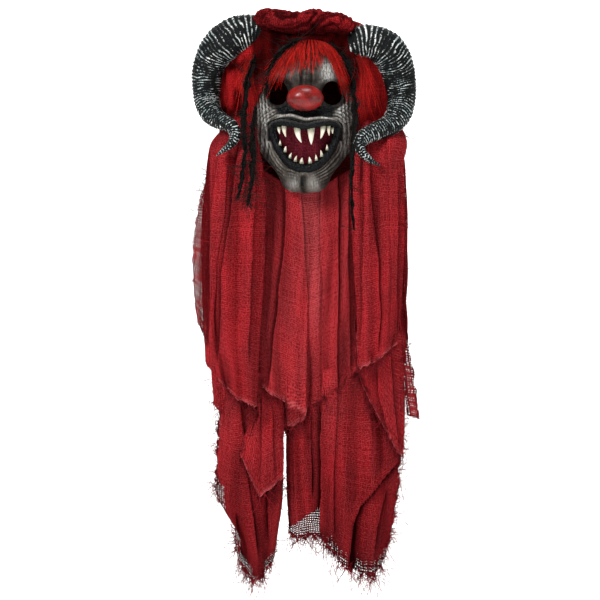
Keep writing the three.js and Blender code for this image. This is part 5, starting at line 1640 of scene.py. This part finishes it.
# How a panel is cut: its fray at the left, right and hem, how ragged its edges are, how far its hem curls
# forward, how deep its folds are, its threads for each millimetre of width, how long they are, and how
# sheer its frayed edges are
UPPER = {"fray": (0.25, 0.25, 1), "ragged": 5, "curl": 6, "depth": 0.7}
UPPER.update(threads=1.6, long=0.9, sheer=0)
TORN = {"ragged": 14, "curl": 0, "depth": 0.7}
TORN.update(threads=4.2, long=1.05, sheer=0.5)
STRIP = {"fray": (1, 1, 1), "ragged": 5, "curl": 0, "depth": 0.4}
STRIP.update(threads=4.2, long=0.9, sheer=0)
PANEL_WAYS = {
    "drape_centre": (UPPER, hang_drape_centre, mark_drape_centre),
    "drape_left": (UPPER, hang_plain, mark_drape_left),
    "drape_right": (UPPER, hang_drape_right, mark_drape_right),
    "tier_left": (UPPER, hang_tier_left, mark_tier_left),
    "tier_right": (UPPER, hang_plain, mark_tier_right),
    "tail_left": ({**TORN, "fray": (0.7, 0.1, 1)}, hang_tail_left, mark_tail_left),
    "tail_right": ({**TORN, "fray": (0.1, 0.7, 1)}, hang_tail_right, mark_tail_right),
    "strip_left": (STRIP, hang_plain, mark_strip),
    "strip_right": (STRIP, hang_plain, mark_strip),
}


def panel_points(name, u, v):
    points = place_on(PANELS[name], u, v)
    _, hang, _ = PANEL_WAYS[name]
    hang(*np.moveaxis(points, -1, 0), u, v)
    return points


def ragged_edge(along, seed):
    """How far a frayed edge is eaten away along its length."""
    return 0.5 + 0.3 * noise(along, 3.3, seed) + 0.5 * noise(along * 3.3, 1.7, seed + 2)


def make_panel(name, seed):
    """One panel of cloth, folded, lapped over its neighbours and frayed at its edges."""
    cut, _, mark = PANEL_WAYS[name]
    left, right, hem = cut["fray"]
    ragged = cut["ragged"]
    half = np.array([[0.5]])
    wide = run_length(place_on(PANELS[name], np.linspace(0, 1, 60)[None, :], half)[0])
    long = run_length(place_on(PANELS[name], half, np.linspace(0, 1, 60)[:, None])[:, 0])
    columns, rows = max(24, int(wide / 1.5)), max(40, int(long / 4.5))
    u, v = np.meshgrid(np.linspace(0, 1, columns), np.linspace(0, 1, rows))
    from_hem = (1 - v) * long
    uu = u + (left * ragged / wide) * ragged_edge(v * long / 20, seed) * (1 - u) ** 8
    uu = uu - (right * ragged / wide) * ragged_edge((v + 9) * long / 20, seed) * u**8
    vv = v - (hem * ragged / long) * ragged_edge(u * wide / 18, seed) * v**12
    points = panel_points(name, uu, vv)
    x, z = points[..., 0], points[..., 2]
    fold = folds(uu, vv, wide, seed, cut["depth"])
    lift, dark = laps(name, x, z)
    dark = np.maximum(dark, under_hems(x, z))
    flat_edge = smooth(np.minimum(u, 1 - u) * wide / 12) * 0.8 + 0.2
    points[..., 1] -= fold * flat_edge + lift + cut["curl"] * smooth((14 - from_hem) / 14)
    frayed = [from_hem]
    if left > 0.2:
        frayed.append(u * wide)
    if right > 0.2:
        frayed.append((1 - u) * wide)
    near = np.minimum.reduce(frayed)
    opened = 0.02 + 0.12 * noise(u * wide / 40, v * long / 60, seed + 11)
    given = {
        "open": opened + 0.35 * bell(near / 5) + cut["sheer"] * bell(near / 11),
        # a pale line along the hem, stronger where it curls forward: partly the raw edge's paler threads,
        # partly a painted highlight
        "pale": 0.17 * cut["curl"] * bell(from_hem / 5),
        "shade": np.maximum(dark, 0.4 * smooth((-fold - 0.8) / 3.5)),
    }
    for key, extra in mark(x, z, u, v).items():
        given[key] = given[key] + extra
    piece = build(name + "_cloth", points, grid_faces(rows, columns, flip=True), RED,
                  uv=np.dstack([uu * wide, vv * long]), marks={key: m.ravel() for key, m in given.items()},
                  replaces=[name])
    count = int(wide * cut["threads"])
    extra = fringe(name, points, cut["fray"], count, seed, THREAD_RED, cut["long"])


def panels():
    for index, name in enumerate(PANELS):
        make_panel(name, 200 + 20 * index)
        if name.startswith(("drape", "tier")):
            line = panel_points(name, np.linspace(0, 1, 80)[None, :], np.array([[1.0]]))[0]
            HEMS.append(line[line[:, 0] < 6] if name == "drape_centre" else line)


def hood_place(u, v):
    """u runs round from the front by the left, v from the crown down."""
    up = mix(0.036, -1, v)
    turn = u * 2 * np.pi
    gather = 4 * np.sin(turn * 6 + 2 * up) * smooth(-up * 2.5)
    front = column(HOOD_RINGS, up, "front") * HOOD_FRONT
    back = column(HOOD_RINGS, up, "back") * HOOD_BACK
    reach = np.where(np.cos(turn) > 0, front, back) + gather
    wide = column(HOOD_RINGS, up, "wide") * HOOD_HALF_WIDTH + gather
    return stack(wide * np.sin(turn), -reach * np.cos(turn), up * HOOD_DROP)


# The edge of the hood on the face, as shares of the face's half width and length
HOOD_EDGE = table(
    "across up",
    (1.12, -1.2),
    (1.08, -0.6),
    (0.97, -0.5),
    (0.86, -0.42),
    (0.75, -0.35),
    (0.62, -0.26),
    (0.53, -0.19),
    (0.44, -0.15),
    (0.2, -0.14),
)


def hood():
    """The cloth over the crown, sides and back, with an opening for the face."""
    rows, columns = 150, 360
    u, v = np.meshgrid(np.linspace(0, 1, columns), np.linspace(0, 1, rows) ** 1.15)
    points = hood_place(u, v)
    x, y, z = np.moveaxis(points, -1, 0)
    side = smooth((-z - 30) / 50) * smooth((z + 190) / 40) * np.abs(np.sin(u * 2 * np.pi)) ** 2
    x = x + np.sign(x) * 9 * side
    # in front the cloth lies on the face
    on_face = (y < 0) & (np.abs(x) < 1.05 * FACE_HALF_WIDTH) & (z > -180)
    skin = face_y(np.clip(x, -86, 86), np.minimum(z, -1)) - 3.5
    share = smooth((1.05 * FACE_HALF_WIDTH - np.abs(x)) / 16)
    y = np.where(on_face & (z < -14), mix(y, np.minimum(y, skin), share), y)
    points = stack(x, y, z)
    out = unit(points - np.array([0, 20, -90]))
    turn = u * 2 * np.pi
    fold = 2.0 * np.sin(turn * 21 + 3 * noise(np.cos(turn) * 2 + 3, v * 3, 61)) * smooth(v * 3)
    fold = fold + 3.0 * rough_noise(np.cos(turn) * 3 + 7, np.sin(turn) * 3 + v * 4, 63)
    fold = fold + 1.6 * rough_noise(np.cos(turn) * 12 + 7, np.sin(turn) * 12 + v * 9, 64)
    fold = fold * mix(1, 0.45, on_face)
    points = points + out * fold[..., None]
    flat = points.reshape(-1, 3)
    faces = grid_faces(rows, columns, flip=True)
    middle = flat[faces].mean(1)
    right = np.column_stack([HOOD_EDGE["across"] * FACE_HALF_WIDTH, HOOD_EDGE["up"] * FACE_LENGTH])
    opening = np.vstack([right, right[::-1] * [-1, 1]])
    ragged = 2.5 * noise(middle[:, 2] / 6, middle[:, 0] / 9, 66)
    cut = (middle[:, 1] < 0) & inside(opening, middle[:, 0] + ragged, middle[:, 2])
    # darker where it meets the brow, and painted shade for crumpled folds at the sides
    brow_dark = smooth((z + 125) / 40) * smooth((97 - np.abs(x)) / 12) * smooth(-y / 20)
    brow_dark = 0.97 * brow_dark * (0.93 + 0.12 * noise(x / 9, z / 14, 67))
    crumple_shade = smooth((rough_noise(z / 26 + 3, (np.abs(x) + y) / 22, 68) + 0.25) / 0.8)
    crumple_shade = crumple_shade * smooth((np.abs(x) - 92) / 14) * smooth((z + 190) / 30) * (0.55 - 0.38 * np.sign(x))
    shade = np.maximum.reduce([smooth((-fold - 0.5) / 5) * 0.55, crumple_shade, brow_dark])
    opened = 0.02 + 0.12 * noise(u * 14, v * 8, 65)
    flat = np.vstack([flat, [0, 0, HOOD_LIFT]])
    crown = [[len(flat) - 1, j, j + 1] for j in range(columns - 1)]
    marks = {"open": np.append(opened, 0.1), "pale": 0.0, "shade": np.append(shade, 0)}
    uv = np.vstack([np.dstack([u * 850, v * 330]).reshape(-1, 2), [0, 0]])
    piece = build("hood_cloth", flat, faces[~cut].tolist() + crown, RED_BRIGHT, uv=uv, marks=marks,
                  replaces=["hood"])


def brow_roll():
    """The twisted band of gauze between the horns."""
    points = stack(
        BROW_ROLL["across"] * HOOD_HALF_WIDTH,
        -BROW_ROLL["front"] * HOOD_FRONT,
        BROW_ROLL["up"] * HOOD_DROP,
    )
    stations, sides = 260, 72
    t = np.linspace(0, 1, stations)
    line = smooth_line(points, t)
    radii = np.interp(t * (len(points) - 1), np.arange(len(points)), BROW_ROLL["thick"] * ROLL_RADIUS)
    angle = np.arange(sides) / sides * 2 * np.pi
    a, s = angle[None, :], t[:, None]
    twist = a + 5.5 * s + 0.8 * noise(s * 9, np.cos(a) * 1.5 + 4, 71)
    twist = twist + 0.5 * noise(s * 22, np.cos(a) * 2.5 + 4, 75)
    ridges = 0.1 * (1 - 2 * np.abs(np.sin(2.5 * twist)))
    ridges = ridges + 0.07 * np.sin(8 * twist + 3 * noise(s * 14, 0, 72))
    lumps = 0.2 * noise(s * 7, np.cos(a) + 2, 73)
    lumps = lumps + 0.08 * rough_noise(s * 34, np.cos(a) * 4 + np.sin(a) * 3, 74)
    vertices, faces = tube(line, radii, sides, swell=1 + ridges + lumps)
    # painted shade in the grooves of the twist, on its underside and in patches, and a dark knot low and
    # right of the middle
    shade = smooth((0.02 - ridges - 0.5 * lumps) / 0.14) * 0.8
    grid = vertices[: stations * sides].reshape(stations, sides, 3)
    under = smooth((line[:, None, 2] - grid[..., 2] - 4) / 10)
    knot = bell((grid[..., 0] - 14) / 17) * smooth((-grid[..., 2] - 4) / 9)
    mottle_and_shade = rough_noise(s * 26, np.cos(a) * 3 + np.sin(a) * 2 + 5, 76)
    mottle_and_shade = smooth((mottle_and_shade - 0.05) / 0.45) * 0.6
    shade = np.maximum.reduce([shade, 0.85 * under, 0.95 * knot, mottle_and_shade])
    uv = np.vstack([np.dstack(np.broadcast_arrays(a * 19, s * 240)).reshape(-1, 2), [[0, 0], [0, 240]]])
    marks = {"open": -0.3, "pale": 0.0, "shade": np.append(shade, [0, 0])}
    piece = build("brow_roll_cloth", vertices, faces, RED_DEEP, uv=uv, marks=marks,
                  replaces=["brow_roll"])


def shroud_place(u, v):
    """u runs round from the opening in front by the left, v from the top down."""
    hem = -SHROUD_DROP * column(SHROUD_HEM, u, "reach")
    section = {name: column(SHROUD_SECTIONS, v, name) for name in list(SHROUD_SECTIONS)[1:]}
    opened = np.radians(section["opening"])
    turn = mix(opened, 2 * np.pi - opened, u)
    phase = u * SHROUD_PLEATS * 2 * np.pi + 0.6 * np.sin(7 * u + 2.4 * v)
    pleat = SHROUD_PLEAT * section["pleat"] * np.sin(phase)
    front, back = section["front"] * SHROUD_FRONT, section["back"] * SHROUD_BACK
    reach = np.where(np.cos(turn) > 0, front, back) + pleat
    wide = section["wide"] * SHROUD_HALF_WIDTH + pleat
    return stack(wide * np.sin(turn), -reach * np.cos(turn), mix(SHROUD_TOP, hem, v))


def shroud():
    """The long cape round the back and sides, shorter and sheer at its edges."""
    rows, columns = 110, 340
    wide, long = 760, 480
    u, v = np.meshgrid(np.linspace(0, 1, columns), np.linspace(0, 1, rows))
    rag = (0.5 + 0.35 * noise(u * 30, 3.3, 81) + 0.3 * noise(u * 120, 1.7, 82)) * 12 / long
    short = 0.2 * bell((u - 0.755) / 0.07) + 0.05 * bell((u - 0.245) / 0.05)
    points = shroud_place(u, (v - rag * v**8) * (1 - short * v))
    out = unit(points * [1, 1, 0])
    fold = folds(u, v, wide, 83, 0.9)
    points = points + out * fold[..., None]
    shade = smooth((-fold - 1) / 5) * 0.55
    opened = 0.02 + 0.55 * bell((1 - v) * long / 10) + 0.12 * noise(u * 16, v * 8, 84)
    x, z = points[..., 0], points[..., 2]
    edge = smooth((-x - 150) / 8) + smooth((x - 160) / 6)
    opened = opened + 0.95 * edge * smooth((-z - 215) / 40) * smooth((z + 580) / 40)
    marks = {"open": opened.ravel(), "pale": 0.0, "shade": shade.ravel()}
    piece = build("shroud_cloth", points, grid_faces(rows, columns, flip=True), RED,
                  uv=np.dstack([u * wide, v * long]), marks=marks, replaces=["shroud"])
    extra = fringe("shroud", points, (0.3, 0.3, 1), 420, 85, THREAD_RED)


# Hair and ragged locks

def lock_points(rows, radius, stand=0.0):
    """Points down a lock: on the face where its table says 0 ahead, or else as far forward as it says."""
    x, z = rows["across"] * FACE_HALF_WIDTH, rows["up"] * FACE_LENGTH
    near = face_y(x, np.clip(z, -0.98 * FACE_LENGTH, 0)) - radius * rows["girth"] * 1.1 - stand
    return stack(x, np.where(rows["ahead"] > 0, -rows["ahead"] * DRAPE_FRONT, near), z)


def black_locks():
    """Ragged strips of black gauze, each of two twisted layers: the wide one and a narrower one on it."""
    stations, across = 110, 13
    t = np.linspace(0, 1, stations)
    u = np.linspace(-1, 1, across)[None, :]
    for index, (name, rows) in enumerate(BLACK_LOCKS.items()):
        points = lock_points(rows, LOCK_RADIUS, 5.0)
        line = smooth_line(points, t)
        s = (t * run_length(line))[:, None]
        girth = np.interp(t * (len(points) - 1), np.arange(len(points)), rows["girth"] * LOCK_RADIUS)
        girth = girth[:, None]
        for layer, share in enumerate((0.76, 0.55)):
            seed = 300 + 10 * index + 5 * layer
            twist = 1.1 * noise(s / 45, layer + 0.5, seed) + layer * 0.5
            rag = 0.55 * noise(s / 11, np.sign(u) * 3 + 0.2, seed + 1)
            rag = rag + 0.4 * noise(s / 4, np.sign(u) * 5, seed + 2)
            wide = u * girth * (1 + rag * np.abs(u)) * share
            curve = 0.35 * girth * np.cos(u * 3.5 + s / 20)
            x = line[:, None, 0] + wide * np.cos(twist)
            y = line[:, None, 1] - 2.2 * layer + 1.0 + 0.55 * wide * np.sin(twist) - curve * 0.6
            grid = stack(x, y, line[:, None, 2])
            opened = 0.05 + 0.5 * np.abs(u) ** 3 + 0.12 * noise(s / 14, u * 2, seed + 3)
            label = f"{name}_layer_{layer + 1}"
            piece = build(label, grid, grid_faces(stations, across, flip=True), BLACK,
                          uv=np.dstack(np.broadcast_arrays(wide, s)),
                          marks={"open": opened.ravel(), "pale": 0.0, "shade": 0.0},
                          replaces=[name] if layer == 0 else ())
            extra = fringe(label, grid, (1, 1, 1.5), 90, seed, THREAD_BLACK)


def strands(name, curves, radius, node):
    """Single hairs that stand for a lock."""
    count, length, _ = curves.shape
    t = np.linspace(0, 1, length)
    radii = np.broadcast_to(radius * (1 - 0.55 * t), (count, length))
    vertices, faces = bundle(curves, radii)
    tint = chance.uniform(0, 1, (count, 1)) * mix(0.35, 1, smooth(t * 1.6))
    tint = np.repeat(tint.ravel(), BUNDLE_SIDES)
    return build(name, vertices, faces, HAIR_RED, marks={"tint": tint}, replaces=[node])


# Where the hair over the brow leaves the roll, as shares of the face's half width
ROOT_FROM, ROOT_TO = -0.3, 0.52


def fringe_hair():
    """Torn red hair that fans out from under the brow roll, in clumps."""
    count, length = 420, 16
    width = ROOT_TO - ROOT_FROM
    rows = np.arange(len(FRINGE["from"]))
    start = chance.uniform(ROOT_FROM, ROOT_TO, count)
    lock = np.interp((start - ROOT_FROM) / width, (FRINGE["from"] - ROOT_FROM) / width, rows)
    clump = np.round(lock * 3) / 3
    lock = mix(lock, clump, 0.92)
    jitter = 0.04 * noise(clump * 7.3, 0.5, 93)
    end = np.interp(lock, rows, FRINGE["to"]) + jitter + chance.normal(0, 0.022, count)
    drop = np.interp(lock, rows, FRINGE["drop"]) * chance.uniform(0.6, 1.04, count)
    start = mix(start, ROOT_FROM + clump / rows[-1] * width, 0.35)
    drop = drop * (1 - 0.36 * bell((end - 0.45) / 0.16))
    t = np.linspace(0, 1, length)[None, :]
    across = start[:, None] + (end - start)[:, None] * t**0.95
    across = across + 0.05 * noise(np.arange(count)[:, None] * 0.7, t * 3, 91) * t
    root = 0.125 + 0.03 * ((start[:, None] - 0.1) / 0.42) ** 2
    x, z = across * FACE_HALF_WIDTH, -mix(root, drop[:, None], t) * FACE_LENGTH
    x = x + 1.8 * np.sin(t * 7 + chance.uniform(0, 6.3, (count, 1))) * t
    stand = 2.5 + 5 * chance.uniform(0, 1, (count, 1)) + 4 * np.sin(t * 3.1)
    strands("fringe_hair", stack(x, face_y(x, z) - stand, z), 0.5, "hair_fringe")


def side_hair(side, name):
    """Hair beside the face, in locks that come apart towards their ends."""
    count = 22
    t = np.linspace(0, 1, 14)
    curves = []
    for rows in SIDE_HAIR:
        line = smooth_line(lock_points(rows, HAIR_RADIUS) * [side, 1, 1], t)
        apart = chance.normal(0, 1, (count, 1, 3)) * [4.5, 2.5, 5] * mix(0.7, 1.9, t)[None, :, None]
        short = chance.uniform(0.5, 1.05, (count, 1))
        reach = np.minimum(t * short, 1)
        bent = np.stack([np.interp(reach, t, line[:, axis]) for axis in range(3)], -1)
        curl = chance.normal(0, 2.2, (count, 1, 3)) * np.sin(t * 6)[None, :, None]
        curves.append(bent + apart + curl)
    strands(name + "_strands", np.concatenate(curves), 0.34, name)


face()
face_inside()
lips()
mouth_lining()
nose()
teeth()
horn("horn_left", LEFT_HORN)
horn("horn_right", RIGHT_HORN)
hood()
brow_roll()
shroud()
panels()
black_locks()
fringe_hair()
side_hair(-1, "hair_side_left")
side_hair(1, "hair_side_right")


# The studio

FLOOR = -1.3
FLOOR_FRONT, FLOOR_BACK = -4.0, 0.8
SWEEP_RADIUS = 1.6
SWEEP_STEPS = 24
WALL_TOP = 4.0
BACKDROP_HALF_WIDTH = 7


def studio():
    """A pale floor that sweeps up into a wall, in metres, clear when it is seen from behind."""
    profile = [(FLOOR_FRONT, FLOOR), (FLOOR_BACK, FLOOR)]
    for i in range(1, SWEEP_STEPS + 1):
        a = i / SWEEP_STEPS * math.pi / 2
        y = FLOOR_BACK + SWEEP_RADIUS * math.sin(a)
        profile.append((y, FLOOR + SWEEP_RADIUS * (1 - math.cos(a))))
    profile.append((FLOOR_BACK + SWEEP_RADIUS, WALL_TOP))
    points, faces = [], []
    for y, z in profile:
        points.append((-BACKDROP_HALF_WIDTH, y, z))
        points.append((BACKDROP_HALF_WIDTH, y, z))
    for i in range(len(profile) - 1):
        faces.append((2 * i, 2 * i + 1, 2 * i + 3, 2 * i + 2))
    mesh = bpy.data.meshes.new("backdrop")
    mesh.from_pydata(points, [], faces)
    backdrop = bpy.data.objects.new("backdrop", mesh)
    bpy.context.scene.collection.objects.link(backdrop)
    made, t, shader, output = material("backdrop_paper")
    tone = group(t, TONE, Vector=placed(t), Scale=2.0)
    paper = t.blend(tone["Slow"], rgb(0.87, 0.87, 0.87), rgb(0.89, 0.89, 0.89))
    t.plug(shader.inputs["Base Color"], paper)
    shader.inputs["Roughness"].default_value = 0.9
    clear = t.add("ShaderNodeBsdfTransparent")
    glow = t.add("ShaderNodeEmission", {"Color": rgb(1, 1, 1), "Strength": 0.62})
    both = t.add("ShaderNodeAddShader", {0: shader.outputs[0], 1: glow.outputs[0]})
    side = t.add("ShaderNodeNewGeometry").outputs["Backfacing"]
    pick = t.add("ShaderNodeMixShader", {0: side, 1: both.outputs[0], 2: clear.outputs[0]})
    t.plug(output.inputs["Surface"], pick.outputs[0])
    mesh.materials.append(made)


def lamp(name, place, aim, size, watts):
    data = bpy.data.lights.new(name, "AREA")
    data.shape = "RECTANGLE"
    data.size, data.size_y = size
    data.energy = watts
    made = bpy.data.objects.new(name, data)
    made.location = place
    made.rotation_euler = (Vector(aim) - Vector(place)).to_track_quat("-Z", "Y").to_euler()
    bpy.context.scene.collection.objects.link(made)


studio()
lamp("key", (-2.0, -2.6, 1.5), (0, 0, -0.4), (0.9, 1.4), 112)
lamp("fill", (2.8, -2.2, 0.0), (0, 0, -0.5), (1.4, 2.2), 30)
lamp("top", (0.2, -0.6, 2.2), (0, 0, -0.4), (1.0, 1.0), 34)

world = bpy.data.worlds.new("studio")
bpy.context.scene.world = world
world.use_nodes = True
sky = Tree(world.node_tree)
glow = sky.add("ShaderNodeBackground", {"Color": rgb(1, 1, 1), "Strength": 0.2})
sky.add("ShaderNodeOutputWorld", {"Surface": glow.outputs[0]})

camera_data = bpy.data.cameras.new("camera")
camera_data.lens = 200
camera_data.sensor_width = 36
camera_data.clip_start, camera_data.clip_end = 0.1, 60
camera = bpy.data.objects.new("camera", camera_data)
bpy.context.scene.collection.objects.link(camera)
camera.location = (-0.0085, -5.7067, -0.476)
camera.rotation_euler = (math.pi / 2, 0, 0)
bpy.context.scene.camera = camera
bpy.context.scene.view_settings.view_transform = "Standard"
